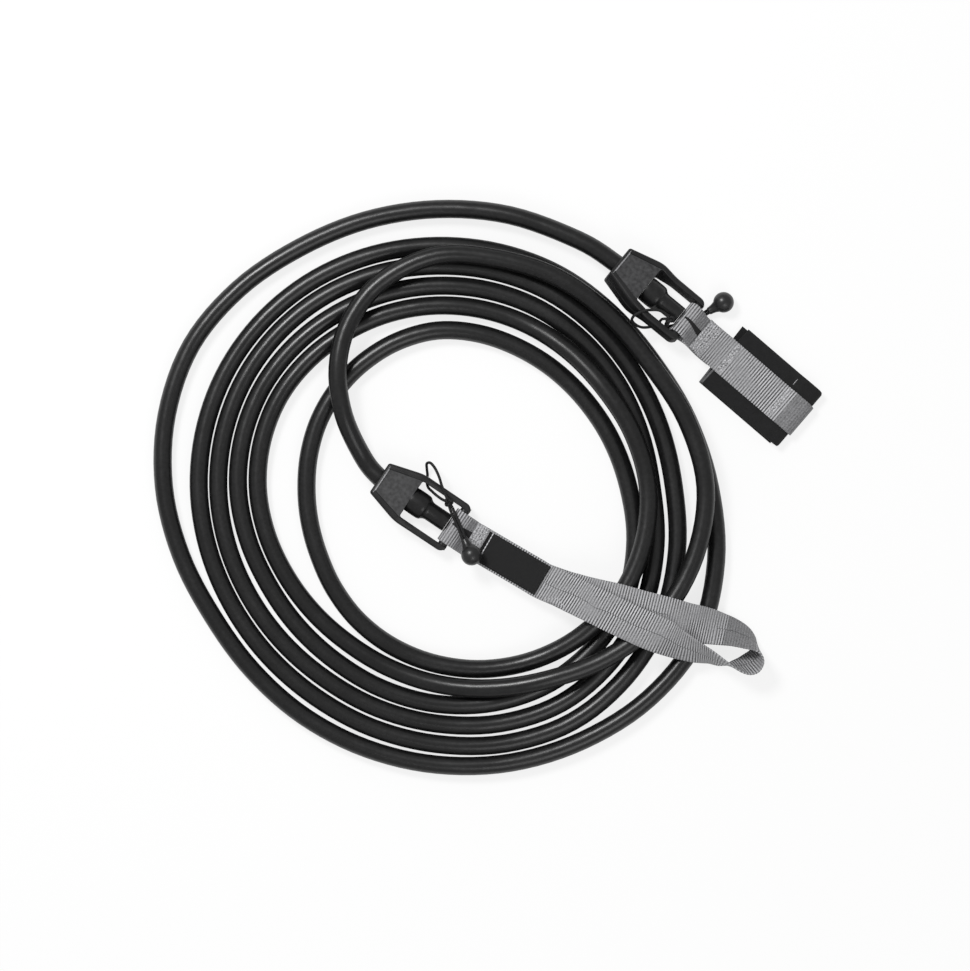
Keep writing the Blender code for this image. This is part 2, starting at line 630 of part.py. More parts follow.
def make_anchor_strap(frame):
    """The anchor's webbing: one strip laid out as a long open loop, sewn under a label."""
    half = WEB_WIDTH / 2
    rows = [anchor_row(WEB_START + (LABEL_END - WEB_START) * step / 8, 1, half)
            for step in range(9)]
    for share in smooth_rows(ANCHOR_LOOP_SHARES, 2):
        along, across, height, plies, lean_along, lean_across = share
        rise = math.sqrt(max(1 - lean_along ** 2 - lean_across ** 2, 0))
        edge = Vector((lean_along, lean_across, rise)).normalized()
        centre = Vector((along * LOOP_REACH, across * LOOP_REACH,
                         height * STACK_HEIGHT + plies * PLY_STEP - ANCHOR_HEIGHT))
        rows.append((centre, edge, half))
    start = BAR_LOOP_LENGTH + OVERRUN
    for step in range(9):
        centre, edge, width = anchor_row(LABEL_END + (start - LABEL_END) * step / 8, 0, half)
        rows.append((centre, -edge, width))
    ribbon("anchor_webbing", rows, WEB_THICKNESS, frame, NYLON, columns=4)

    lift = 1 + (WEB_THICKNESS / 2 + GAP + LABEL_THICKNESS / 2) / PLY_STEP
    rows = [anchor_row(LABEL_START + (LABEL_END - LABEL_START) * step / 8, lift, LABEL_WIDTH / 2)
            for step in range(9)]
    ribbon("anchor_label", rows, LABEL_THICKNESS, frame, BAND)


def ankle_lean(along):
    """The ankle strap's roll and heading: with the bar at first and with the cuff by its start."""
    share = 1 - smooth_step(along, BAR_LOOP_RADIUS, LOWER_BAND_START)
    return ANKLE_ROLL * share, (ANKLE_YAW - CUFF_YAW) * share


def ankle_base(along):
    """Height of the ankle strap's middle ply above the bar's centre."""
    end = CUFF_WEB_LEVEL - PLY_STEP - ANKLE_HEIGHT
    return end * smooth_step(along, BAR_LOOP_RADIUS, UPPER_BAND_START)


def band_rise(along):
    """The upper band's swell over the hollow beside its fold."""
    return FOLD_BULGE * smooth_step(along, BULGE_START, (BULGE_START + 2 * FOLD_CENTRE) / 3)


def fold_rows(level, turn_end, half_width, start, offset):
    """Rows along the upper band and round its fold, a set distance outside its centre."""
    low = LOWER_BAND_LEVEL - ANKLE_HEIGHT
    radius = (UPPER_BAND_LEVEL + FOLD_BULGE - LOWER_BAND_LEVEL) / 2
    rows = []
    stops = [start + (BULGE_START - start) * step / 4 for step in range(4)]
    stops += [BULGE_START + (FOLD_CENTRE - BULGE_START) * step / 6 for step in range(6)]
    for along in stops:
        rows.append(strap_row(along, level + band_rise(along), half_width=half_width))
    turns = 8
    for step in range(turns + 1):
        angle = turn_end * step / turns
        drawn = half_width - BAND_CORNER_RADIUS * (1 - math.cos(angle / 2)) * half_width / BAND_WIDTH
        rows.append(strap_row(FOLD_CENTRE + (radius + offset) * math.sin(angle),
                              low + radius + (radius + offset) * math.cos(angle),
                              half_width=drawn))
    return rows


def make_ankle_strap(frame):
    """The ankle's webbing, sewn along the cuff's upper band and over its fold."""
    stops = 10
    rows = [strap_row(along, ankle_base(along) + PLY_STEP, ankle_lean(along))
            for along in (WEB_START + (UPPER_BAND_START - WEB_START) * step / stops
                          for step in range(stops))]
    offset = BAND_THICKNESS / 2 + GAP + WEB_THICKNESS / 2
    rows += fold_rows(CUFF_WEB_LEVEL - ANKLE_HEIGHT, WEB_FOLD_TURN, WEB_WIDTH / 2,
                      UPPER_BAND_START, offset)
    ribbon("ankle_webbing", rows, WEB_THICKNESS, frame, NYLON)

    rows = fold_rows(UPPER_BAND_LEVEL - ANKLE_HEIGHT, math.pi, BAND_WIDTH / 2,
                     UPPER_BAND_START, 0)
    ribbon("cuff_upper_band", rows, BAND_THICKNESS, frame, BAND)
    make_patch("cuff_loop_patch", frame, PATCH_LEVEL, ANKLE_HEIGHT, 0)


def make_patch(name, frame, level, floor_drop, shift):
    """One half of the touch fastening: a thin pad with softened edges."""
    start = UPPER_BAND_START + PATCH_MARGIN
    end = BULGE_START - PATCH_MARGIN
    half = BAND_WIDTH / 2 - PATCH_MARGIN
    corners = [(start, shift - half), (end, shift - half), (end, shift + half),
               (start, shift + half)]
    middle = level - floor_drop
    top = PATCH_THICKNESS / 2
    levels = [(middle - top, PATCH_EDGE), (middle - top + PATCH_EDGE, 0),
              (middle + top - PATCH_EDGE, 0), (middle + top, PATCH_EDGE)]
    rings = plate_rings(corners, [PATCH_MARGIN] * len(corners), levels)
    add_part(name, loft(name, rings), frame, BAND)


def make_cuff_flap(frame, fold):
    """The cuff's lower band with its pad, which peels away from the fold."""
    edge = BAND_THICKNESS / 4
    start = LOWER_BAND_START - fold.x
    end = FOLD_CENTRE - GAP - fold.x
    half = BAND_WIDTH / 2
    corners = [(start, -half - LOWER_BAND_SHIFT), (end, -half - LOWER_BAND_SHIFT),
               (end, half - LOWER_BAND_SHIFT), (start, half - LOWER_BAND_SHIFT)]
    radii = [BAND_CORNER_RADIUS, edge, edge, BAND_CORNER_RADIUS]
    middle = LOWER_BAND_LEVEL - ANKLE_HEIGHT - fold.z
    top = BAND_THICKNESS / 2
    levels = [(middle - top, edge), (middle - top + edge, 0), (middle + top - edge, 0),
              (middle + top, edge)]
    add_part("cuff_lower_band", loft("cuff_lower_band", plate_rings(corners, radii, levels)),
             frame, BAND)
    patch_frame = add_frame("cuff_hook_frame", frame, (-fold.x, 0, -fold.z))
    make_patch("cuff_hook_patch", patch_frame, HOOK_LEVEL, ANKLE_HEIGHT, -LOWER_BAND_SHIFT / 2)


def fitting_point(shares):
    """A place in a fitting's own axes, from its shares."""
    along, across, height = shares
    return Vector((BLOCK_LENGTH + along * (FITTING_LENGTH - BLOCK_LENGTH),
                   across * FITTING_WIDTH / 2, height * FRAME_THICKNESS / 2))


def make_tie(prefix, frame, loop_shares, knot_shares):
    """A thin cord looped round an arm of the fitting, and the tight knot that closes it."""
    points = smooth_rows([fitting_point(share) for share in loop_shares], 3)
    add_part(prefix + "_tie_loop",
             tube_curve(prefix + "_tie_loop", points, TIE_DIAMETER, 1), frame, CORD)
    knot = []
    count = 30
    for index in range(count):
        angle = 2 * math.pi * index / count
        knot.append(((math.sin(angle) + 2 * math.sin(2 * angle)) * KNOT_RADIUS / 3,
                     (math.cos(angle) - 2 * math.cos(2 * angle)) * KNOT_RADIUS / 3,
                     -math.sin(3 * angle) * KNOT_HEIGHT / 2))
    made = add_part(prefix + "_tie_knot",
                    tube_curve(prefix + "_tie_knot", knot, KNOT_CORD_DIAMETER, 1, closed=True),
                    frame, CORD)
    made.location = fitting_point(knot_shares)


def make_ball(prefix, frame, cord_shares, ball_shares, knot_shares):
    """The doubled cord from the knot and the ball that it threads, under the ball's frame."""
    knot = fitting_point(knot_shares)
    ball = fitting_point(ball_shares) - knot
    route = [Vector(point) - knot
             for point in smooth_rows([fitting_point(share) for share in cord_shares], 2)]
    side = (route[-1] - route[-2]).cross(Vector((0, 0, 1))).normalized()
    there, back = [], []
    for index in reversed(range(len(route))):
        ahead = route[min(index + 1, len(route) - 1)] - route[max(index - 1, 0)]
        ahead.normalize()
        side = (side - ahead * side.dot(ahead)).normalized()
        there.insert(0, route[index] + side * TIE_SPACING / 2)
        back.append(route[index] - side * TIE_SPACING / 2)
    tip = route[-1] + (route[-1] - route[-2]).normalized() * TIE_SPACING / 2
    add_part(prefix + "_ball_cord",
             tube_curve(prefix + "_ball_cord", there + [tip] + back, TIE_DIAMETER, 1),
             frame, CORD)

    radius = BALL_DIAMETER / 2
    neck = NECK_DIAMETER / 2
    reach = radius + NECK_LENGTH
    profile = [(-reach + NECK_BORE_DEPTH, 0), (-reach + NECK_BORE_DEPTH, NECK_BORE / 2),
               (-reach, NECK_BORE / 2), (-reach, neck),
               (-reach + NECK_LENGTH / 3, neck * NECK_SWELL_SHARE)]
    count = 9
    for index in range(count + 1):
        angle = NECK_TURN + (math.pi - NECK_TURN) * index / count
        profile.append((-radius * math.cos(angle), radius * math.sin(angle)))
    profile[-1] = (radius, 0)
    made = turned(prefix + "_ball", profile, frame, BALL, steps=20)
    made.location = ball
    made.rotation_euler = (ball - route[-1]).to_track_quat("X", "Z").to_euler()


def lowest_middle(left_out):
    """The middle of the parts' bounding box at its bottom, without the tube."""
    depsgraph = bpy.context.evaluated_depsgraph_get()
    corners = []
    for part in PARTS.objects:
        if part.type == "EMPTY" or part is left_out:
            continue
        shaped = part.evaluated_get(depsgraph)
        mesh = shaped.to_mesh()
        corners += [part.matrix_world @ vertex.co for vertex in mesh.vertices]
        shaped.to_mesh_clear()
    low = [min(corner[axis] for corner in corners) for axis in range(3)]
    high = [max(corner[axis] for corner in corners) for axis in range(3)]
    return Vector(((low[0] + high[0]) / 2, (low[1] + high[1]) / 2, low[2]))


def describe(name, frame, point, direction=(0, 0, 1)):
    """Print a place and a direction in the world, for the record."""
    place = frame.matrix_world @ Vector(point)
    axis = (frame.matrix_world.to_3x3() @ Vector(direction)).normalized()
    print(name, [round(value, 5) for value in place], [round(value, 4) for value in axis])


def build():
    """Build the tether and print what its record needs."""
    root = add_frame("tether_frame", None)
    upright = Vector((0, 0, 1))
    anchor_turn = Matrix.Rotation(ANCHOR_YAW, 3, upright)
    ankle_turn = Matrix.Rotation(ANKLE_YAW, 3, upright) @ Matrix.Rotation(-ANKLE_ROLL, 3, "X")
    anchor = add_frame("anchor_axis", root, (*ANCHOR_PLACE, ANCHOR_HEIGHT), anchor_turn)
    ankle = add_frame("ankle_axis", root, (*ANKLE_PLACE, ANKLE_HEIGHT), ankle_turn)
    anchor_pivot = add_frame("anchor_pivot", anchor, (BAR_CENTRE, 0, 0))
    cuff_turn = ankle_turn.inverted() @ Matrix.Rotation(CUFF_YAW, 3, upright)
    ankle_pivot = add_frame("ankle_pivot", ankle, (BAR_CENTRE, 0, 0), cuff_turn)
    fold = Vector((FOLD_CENTRE - GAP / 2, 0, GAP / 2 - ANKLE_HEIGHT))
    flap = add_frame("cuff_fold", ankle_pivot, fold)
    bpy.context.view_layer.update()

    tube, points = make_tube(root, anchor, ankle)
    for prefix, frame in (("anchor", anchor), ("ankle", ankle)):
        make_tube_end(prefix, frame)
        make_shackle(prefix + "_shackle", frame)
    make_bar_loop("anchor_bar_loop", anchor_pivot, BAR_LOOP_LENGTH, anchor_base, level_lean)
    make_bar_loop("ankle_bar_loop", ankle_pivot, ANKLE_LOOP_LENGTH, ankle_base, ankle_lean)
    make_anchor_strap(anchor_pivot)
    make_ankle_strap(ankle_pivot)
    make_cuff_flap(flap, fold)
    ties = (("anchor", anchor, ANCHOR_TIE_SHARES, ANCHOR_KNOT_SHARES,
             ANCHOR_BALL_SHARES, ANCHOR_BALL_PLACE_SHARES),
            ("ankle", ankle, ANKLE_TIE_SHARES, ANKLE_KNOT_SHARES,
             ANKLE_BALL_SHARES, ANKLE_BALL_PLACE_SHARES))
    for prefix, frame, loop_shares, knot_shares, cord_shares, ball_shares in ties:
        make_tie(prefix, frame, loop_shares, knot_shares)
        swing = add_frame(prefix + "_swing", frame, fitting_point(knot_shares))
        make_ball(prefix, swing, cord_shares, ball_shares, knot_shares)
    bpy.context.view_layer.update()
    root.location = -lowest_middle(tube)
    bpy.context.view_layer.update()

    length = sum((end - start).length for start, end in zip(points, points[1:]))
    gap, first, second = least_gap(points)
    print("tube length mm", round(length / MM, 1), "least gap mm", round(gap / MM, 3),
          "at points", first, second, "of", len(points))
    print("tube gap place", [round(value / MM, 1) for value in points[first]])
    describe("root shift", root, (0, 0, 0))
    describe("anchor_swivel", anchor, (0, 0, 0), (1, 0, 0))
    describe("anchor_strap_pivot", anchor, (BAR_CENTRE, 0, 0), (0, -1, 0))
    describe("anchor_ball_swing", anchor, fitting_point(ANCHOR_KNOT_SHARES), (0, -1, 0))
    describe("ankle_swivel", ankle, (0, 0, 0), (-1, 0, 0))
    describe("ankle_strap_pivot", ankle, (BAR_CENTRE, 0, 0), (0, -1, 0))
    describe("ankle_ball_swing", ankle, fitting_point(ANKLE_KNOT_SHARES), (0, 1, 0))
    describe("cuff_flap_peel", flap, (0, 0, 0), (0, -1, 0))
    face = Vector((BLOCK_LENGTH / 2, 0, BLOCK_THICKNESS / 2 - FACE_RECESS))
    describe("anchor_block_face", anchor, face)
    slot = (BAR_CENTRE + BLOCK_LENGTH) / 2
    slot_side = (FITTING_WIDTH / 2 - ARM_WIDTH + TAIL_DIAMETER / 2) / 2
    describe("anchor window beside the tail", anchor, (slot, -slot_side, 0))
    eye = Vector((*EYE_SHARES, 0)) * LOOP_REACH
    describe("anchor loop eye", anchor_pivot, eye)
    describe("cuff hollow", ankle_pivot,
             (FOLD_CENTRE - FOLD_BULGE, PATCH_MARGIN - BAND_WIDTH / 2, PATCH_LEVEL - ANKLE_HEIGHT))


clear_scene()
PARTS = new_collection("stationary_swim_tether")
CUTTERS = new_collection("cutters")
build()
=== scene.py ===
"""A stationary swim tether, laid out on a pale floor and seen from straight above."""
import math

import bmesh
import bpy
from mathutils import Matrix, Vector


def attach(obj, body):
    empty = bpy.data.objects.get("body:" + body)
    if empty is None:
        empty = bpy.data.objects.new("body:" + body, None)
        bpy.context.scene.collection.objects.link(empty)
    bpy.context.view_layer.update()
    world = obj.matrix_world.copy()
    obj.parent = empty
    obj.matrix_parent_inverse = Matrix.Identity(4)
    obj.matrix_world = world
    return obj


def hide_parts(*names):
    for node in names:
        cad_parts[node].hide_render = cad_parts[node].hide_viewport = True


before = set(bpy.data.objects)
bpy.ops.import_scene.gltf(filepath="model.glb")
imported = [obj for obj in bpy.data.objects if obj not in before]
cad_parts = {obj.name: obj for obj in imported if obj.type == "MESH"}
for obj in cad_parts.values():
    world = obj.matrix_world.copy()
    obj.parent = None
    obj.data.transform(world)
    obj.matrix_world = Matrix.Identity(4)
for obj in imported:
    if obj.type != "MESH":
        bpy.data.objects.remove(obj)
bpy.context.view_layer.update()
scene = bpy.context.scene
MM = 0.001

# The camera. The tether was photographed from straight above, through a long lens, so that
# its loops show hardly any perspective. The lens and the sensor are in millimetres.
SENSOR_WIDTH = 36
LENS = 120
CAMERA_HEIGHT = 2200 * MM
VIEW_MIDDLE = Vector((-75.6 * MM, -16.0 * MM, 0))

camera_data = bpy.data.cameras.new("camera")
camera_data.sensor_width = SENSOR_WIDTH
camera_data.lens = LENS
camera = bpy.data.objects.new("camera", camera_data)
camera.location = (VIEW_MIDDLE.x, VIEW_MIDDLE.y, CAMERA_HEIGHT)
scene.collection.objects.link(camera)
scene.camera = camera


# Where the two fittings lie. Each has its own axes: X from the tube to the bar, Y along the
# bar and Z up out of its face. The ankle fitting leans on its rim. Angles are in degrees.
BLOCK_LENGTH = 25.5 * MM
BLOCK_THICKNESS = 18.0 * MM
FITTING_LENGTH = 64.0 * MM
FITTING_WIDTH = 37.6 * MM
FRAME_THICKNESS = 9.5 * MM
BAR_WIDTH = 6.5 * MM
BAR_CENTRE = FITTING_LENGTH - BAR_WIDTH / 2
ANCHOR_HEIGHT = BLOCK_THICKNESS / 2
ANCHOR_PLACE = (-146.9 * MM, -10.71 * MM, ANCHOR_HEIGHT)
ANCHOR_YAW = -33.9
ANKLE_HEIGHT = 14.27 * MM
ANKLE_PLACE = (13.3 * MM, 133.59 * MM, ANKLE_HEIGHT)
ANKLE_YAW = -39.5
ANKLE_ROLL = 20.0
CUFF_YAW = -40.7


def turn(degrees, axis):
    """A rotation about one axis."""
    return Matrix.Rotation(math.radians(degrees), 4, axis)


FITTING_AXES = {
    "anchor": Matrix.Translation(ANCHOR_PLACE) @ turn(ANCHOR_YAW, "Z"),
    "ankle": Matrix.Translation(ANKLE_PLACE) @ turn(ANKLE_YAW, "Z") @ turn(-ANKLE_ROLL, "X"),
}
BAR_AXES = {
    "anchor": FITTING_AXES["anchor"] @ Matrix.Translation((BAR_CENTRE, 0, 0)),
    "ankle": (Matrix.Translation(FITTING_AXES["ankle"] @ Vector((BAR_CENTRE, 0, 0)))
              @ turn(CUFF_YAW, "Z")),
}


# The elastic tube. It is six metres of extruded black latex, satin and a little dusty, laid
# in six loops that lie beside and on each other, and it enters both fittings' blocks.
TUBE_DIAMETER = 12.5 * MM
TUBE_LEVEL = 6.35 * MM
LEVEL_STEP = 13.05 * MM
COIL_RADIUS = 200.0 * MM
COIL_MIDDLE = Vector((-108.2 * MM, -17.01 * MM, 0))
COIL_START = 60
STATION_STEP = 30
STATION_STEPS = 2
ROUTE_STEPS = 6
TUBE_SIDES = 28

# What parts two pieces that lie against each other
GAP = 0.3 * MM

# The loops' radii, as shares of the coil's radius, at every station from the start on
LOOP_SHARES = (
    0.962, 0.941, 0.935, 0.961, 0.925, 0.877, 0.898, 0.941, 0.991, 1.020, 0.925, 0.845,
    0.830, 0.817, 0.817, 0.815, 0.807, 0.802, 0.822, 0.871, 0.918, 0.882, 0.803, 0.771,
    0.763, 0.750, 0.751, 0.748, 0.741, 0.736, 0.753, 0.802, 0.845, 0.808, 0.728, 0.705,
    0.696, 0.682, 0.678, 0.681, 0.674, 0.660, 0.683, 0.735, 0.767, 0.739, 0.649, 0.583,
    0.547, 0.530, 0.491, 0.459, 0.442, 0.462, 0.526, 0.600, 0.673, 0.719, 0.712, 0.656,
    0.630, 0.615, 0.609, 0.615, 0.607, 0.593, 0.608, 0.666, 0.749, 0.871, 0.906, 0.831,
    0.815, 0.780,
)

# The stations that are lifted, as shares of the step from one level of loops to the next
LIFT_SHARES = {
    0: 0.54, 1: 0.10, 56: 0.16, 57: 1, 58: 1, 59: 1.1, 60: 0.12, 67: 0.3, 68: 1.05,
    69: 1, 70: 1, 71: 1, 72: 1, 73: 1,
}

# The lead from the last loop to the anchor fitting, in shares of the radius and of the step
LEAD_SHARES = (
    (-0.184, 0.694, 1.0), (-0.293, 0.558, 1.0), (-0.333, 0.401, 1.08), (-0.313, 0.242, 0.86),
    (-0.249, 0.100, 0.21),
)


def smooth_rows(rows, steps):
    """Rows of numbers with Catmull-Rom ones between, so that each stretch has the steps."""
    smoothed = []
    last = len(rows) - 1
    for index in range(last):
        corners = [rows[min(max(index + offset, 0), last)] for offset in (-1, 0, 1, 2)]
        for step in range(steps):
            share = step / steps
            row = []
            for before, start, end, after in zip(*corners):
                cubic = -before + 3 * start - 3 * end + after
                square = 2 * before - 5 * start + 4 * end - after
                row.append(start + share * (end - before + share * (square + share * cubic)) / 2)
            smoothed.append(row)
    smoothed.append(list(rows[last]))
    return smoothed


def coil_point(along, across, lift):
    """A place in the coil from its shares."""
    return COIL_MIDDLE + Vector((along * COIL_RADIUS, across * COIL_RADIUS,
                                 TUBE_LEVEL + lift * LEVEL_STEP))


def run_through_block(axes):
    """The tube's straight run from inside a fitting's block to its outer end."""
    places = (BLOCK_LENGTH - GAP / 2, BLOCK_LENGTH / 2, 0)
    return [axes @ Vector((place, 0, 0)) for place in places]


stations = [(share, LIFT_SHARES.get(index, 0)) for index, share in enumerate(LOOP_SHARES)]
coil = []
for index, (radius, lift) in enumerate(smooth_rows(stations, STATION_STEPS)):
    angle = math.radians(COIL_START + index * STATION_STEP / STATION_STEPS)
    coil.append(coil_point(radius * math.cos(angle), radius * math.sin(angle), lift))
anchor_run = list(reversed(run_through_block(FITTING_AXES["anchor"])))
lead = [coil_point(*shares) for shares in LEAD_SHARES]
tube_route = smooth_rows(run_through_block(FITTING_AXES["ankle"]) + coil + lead + anchor_run,
                         ROUTE_STEPS)
tube_route = [Vector(point) for point in tube_route]


def placed(name, mesh):
    """An object with this mesh, linked into the scene."""
    made = bpy.data.objects.new(name, mesh)
    scene.collection.objects.link(made)
    return made


def piece(name, mesh, finish, body, stands_for=None, axes=None):
    """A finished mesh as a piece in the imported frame, riding on its body."""
    mesh.name = name
    if axes:
        mesh.transform(axes)
    if finish:
        mesh.materials.append(finish.material)
    for face in mesh.polygons:
        face.use_smooth = True
    made = placed(name, mesh)
    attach(made, body)
    if stands_for:
        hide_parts(stands_for)
    return made


def finished_mesh(work):
    """The mesh of a bmesh whose faces are turned outwards."""
    bmesh.ops.recalc_face_normals(work, faces=work.faces)
    mesh = bpy.data.meshes.new("shape")
    work.to_mesh(mesh)
    work.free()
    return mesh


def swept(route, radius, sides, closed=False):
    """A round cord along a route, with capped ends and a map of its girth and length."""
    work = bmesh.new()
    run_map = work.loops.layers.uv.new("run")
    count = len(route)
    side = Vector((0, 0, 1))
    rings, runs = [], [0.0]
    for index, point in enumerate(route):
        after = route[(index + 1) % count] if closed else route[min(index + 1, count - 1)]
        before = route[index - 1] if closed else route[max(index - 1, 0)]
        ahead = (after - before).normalized()
        side = (side - ahead * side.dot(ahead)).normalized()
        other = ahead.cross(side)
        rings.append([work.verts.new(point + radius * (side * math.cos(angle)
                                                       + other * math.sin(angle)))
                      for angle in (2 * math.pi * step / sides for step in range(sides))])
        runs.append(runs[-1] + (after - point).length)
    pairs = count if closed else count - 1
    for index in range(pairs):
        first, second = rings[index], rings[(index + 1) % count]
        for step in range(sides):
            beside = (step + 1) % sides
            face = work.faces.new((first[step], first[beside], second[beside], second[step]))
            girths = (step, step + 1, step + 1, step)
            lengths = (index, index, index + 1, index + 1)
            for loop, girth, length in zip(face.loops, girths, lengths):
                loop[run_map].uv = (girth / sides, runs[length])
    if not closed:
        work.faces.new(reversed(rings[0]))
        work.faces.new(rings[-1])
    return finished_mesh(work)


class Socket:
    """A node's output. An expression on it adds Math nodes to its tree."""

    def __init__(self, tree, output):
        self.tree = tree
        self.output = output

    def maths(self, operation, *others):
        """A Math node on this and other values."""
        return self.tree.maths(operation, self, *others)

    def sine(self):
        """Its sine."""
        return self.maths("SINE")

    def __abs__(self):
        return self.maths("ABSOLUTE")

    def __add__(self, other):
        return self.maths("ADD", other)

    def __sub__(self, other):
        return self.maths("SUBTRACT", other)

    def __rsub__(self, other):
        return self.tree.maths("SUBTRACT", other, self)

    def __mul__(self, other):
        return self.maths("MULTIPLY", other)

    def __gt__(self, other):
        return self.maths("GREATER_THAN", other)

    def __pow__(self, other):
        return self.maths("POWER", other)

    __radd__ = __add__
    __rmul__ = __mul__


class Tree:
    """A node tree that is written as expressions."""

    def __init__(self, tree):
        self.tree = tree

    def node(self, kind, settings=None, values=None, output=0):
        """A node with its settings, then the values or links of its sockets."""
        made = self.tree.nodes.new(kind)
        for name, value in (settings or {}).items():
            setattr(made, name, value)
        for name, value in (values or {}).items():
            self.join(value, made.inputs[name])
        return Socket(self, made.outputs[output]) if made.outputs else None

    def join(self, value, socket):
        """A value set on a socket, or a link into it."""
        if isinstance(value, Socket):
            self.tree.links.new(value.output, socket)
        else:
            socket.default_value = value

    def maths(self, operation, *values):
        """A Math node on these values."""
        return self.node("ShaderNodeMath", {"operation": operation}, dict(enumerate(values)))

    def axis(self, vector, name):
        """One axis of a vector."""
        return self.node("ShaderNodeSeparateXYZ", None, {"Vector": vector}, output=name)


class Finish(Tree):
    """A material, from its shader's constant sockets and then its changing ones."""

    def __init__(self, name, constants):
        self.material = bpy.data.materials.new(name)
        self.material.use_nodes = True
        super().__init__(self.material.node_tree)
        self.shader = self.tree.nodes["Principled BSDF"]
        self.place = self.node("ShaderNodeTexCoord", output="Object")
        self.set(constants)

    def set(self, values):
        """Values or links on the shader's sockets."""
        for name, value in values.items():
            self.join(value, self.shader.inputs[name])

    def noise(self, scale, detail=2.0):
        """A noise between 0 and 1 over the piece's place."""
        return self.node("ShaderNodeTexNoise", None,
                         {"Vector": self.place, "Scale": scale, "Detail": detail})

    def mapped(self, name):
        """A piece's own map: its place across or around the piece, and along it."""
        spot = self.node("ShaderNodeUVMap", {"uv_map": name})
        return self.axis(spot, "X"), self.axis(spot, "Y")

    def between(self, share, first, second):
        """A colour mixed from two."""
        return self.node("ShaderNodeMix", {"data_type": "RGBA"}, {0: share, 6: first, 7: second},
                         output=2)

    def relief(self, height, depth):
        """A bump on the shader's normal, whose height of 1 stands this far out."""
        bump = self.node("ShaderNodeBump", None, {"Height": height, "Distance": depth})
        self.join(bump, self.shader.inputs["Normal"])


COOLNESS = 1.03


def grey(shade):
    """A neutral colour, very slightly cool."""
    return (shade, shade, shade * COOLNESS, 1)


rubber = Finish("black_latex", {"Specular IOR Level": 0.42})
cloudy = rubber.noise(scale=26.0, detail=3.0)
powder = rubber.noise(scale=420.0, detail=4.0)
rubber.set({"Base Color": rubber.between((powder - 0.35) * cloudy * 1.6, grey(0.006), grey(0.024)),
            "Roughness": 0.20 + 0.24 * cloudy})
rubber.relief(rubber.noise(scale=60.0) + 0.05 * powder, depth=0.35 * MM)

tube = piece("latex_tube_skin", swept(tube_route, TUBE_DIAMETER / 2, TUBE_SIDES), rubber,
             "root", "latex_tube")


# The tube's ends. Inside each fitting the tube is swollen over a hard plug, which keeps it
# from pulling back through the block, and its cut tail stays open.
TAIL_DIAMETER = 12.7 * MM
TAIL_BORE = 6.4 * MM
END_WALL = 1.4 * MM
BULGE_LENGTH = 12.5 * MM
BULGE_DIAMETER = 18.0 * MM
WEB_THICKNESS = 1.4 * MM
BAR_THICKNESS = 7.6 * MM
BAR_LOOP_RADIUS = BAR_THICKNESS / 2 + GAP + WEB_THICKNESS / 2
END_SIDES = 56
BULGE_STEPS = 3
CRISP_ANGLE = 35

# The end starts at the block, and its tail stops just short of the webbing round the bar
END_GAP = 0.06 * MM
TAIL_GAP = 0.14 * MM
TAIL_END = BAR_CENTRE - BAR_LOOP_RADIUS - WEB_THICKNESS / 2 - TAIL_GAP

# Along the swollen part and out from its axis, as shares of its length and radius
BULGE_SHARES = ((0, 0.95), (0.05, 0.99), (0.50, 1.0), (0.80, 0.985), (0.93, 0.93), (1.0, 0.84))


def turned(profile, steps):
    """A solid turned about X from a profile of places along it and radii, ends on the axis."""
    work = bmesh.new()
    rings = []
    for along, radius in profile:
        if radius == 0:
            rings.append([work.verts.new((along, 0, 0))] * steps)
            continue
        angles = [2 * math.pi * step / steps for step in range(steps)]
        rings.append([work.verts.new((along, radius * math.cos(angle), radius * math.sin(angle)))
                      for angle in angles])
    for first, second in zip(rings, rings[1:]):
        for step in range(steps):
            beside = (step + 1) % steps
            corners = (first[step], first[beside], second[beside], second[step])
            work.faces.new(dict.fromkeys(corners))
    return finished_mesh(work)


def crisped(made, degrees=CRISP_ANGLE):
    """Keep a piece's edges crisp where they turn by more than the angle."""
    made.data.set_sharp_from_angle(angle=math.radians(degrees))


end_start = BLOCK_LENGTH + END_GAP
bulge = smooth_rows([(end_start + along * BULGE_LENGTH, radius * BULGE_DIAMETER / 2)
                     for along, radius in BULGE_SHARES], BULGE_STEPS)
bulge_end = end_start + BULGE_LENGTH
tail = TAIL_DIAMETER / 2
bore = TAIL_BORE / 2
rim = END_WALL / 4
end_profile = [(end_start, 0), *bulge, (bulge_end + END_WALL, tail + rim),
               (bulge_end + 2 * END_WALL, tail), (TAIL_END - rim, tail), (TAIL_END, tail - rim),
               (TAIL_END, bore + rim), (TAIL_END - rim, bore),
               (TAIL_END - BULGE_LENGTH / 2, bore), (TAIL_END - BULGE_LENGTH / 2, 0)]
for end, axes in FITTING_AXES.items():
    tube_end = piece(end + "_tube_end_skin", turned(end_profile, END_SIDES), rubber, "root",
                     end + "_tube_end", axes)
    crisped(tube_end)


# The fittings. Each is one glass-filled nylon moulding: a thick block that the tube passes
# through, whose recessed face runs out to the window, and two arms that grow out of the
# block's flanks, thin down and carry the bar.
BLOCK_END_WIDTH = 23.8 * MM
FLARE_LENGTH = 24.0 * MM
FLARE_RADIUS = 34.0 * MM
BLOCK_CORNER_RADIUS = 1.8 * MM
BLOCK_EDGE = 1.9 * MM
FACE_START = 2.5 * MM
FACE_END_WIDTH = 17.0 * MM
FACE_RECESS = 0.7 * MM
FACE_CORNER_RADIUS = 0.9 * MM
BEAD_RADIUS = 0.45 * MM
PARTING_GROOVE = 0.5 * MM
BORE_CLEARANCE = 0.3 * MM
TAPER_START = 23.5 * MM
TAPER_END = 40.0 * MM
FRAME_STEP = 0.25 * MM
FRAME_CORNER_RADIUS = 5.0 * MM
ARM_WIDTH = 4.5 * MM
WINDOW_CORNER_RADIUS = 1.5 * MM
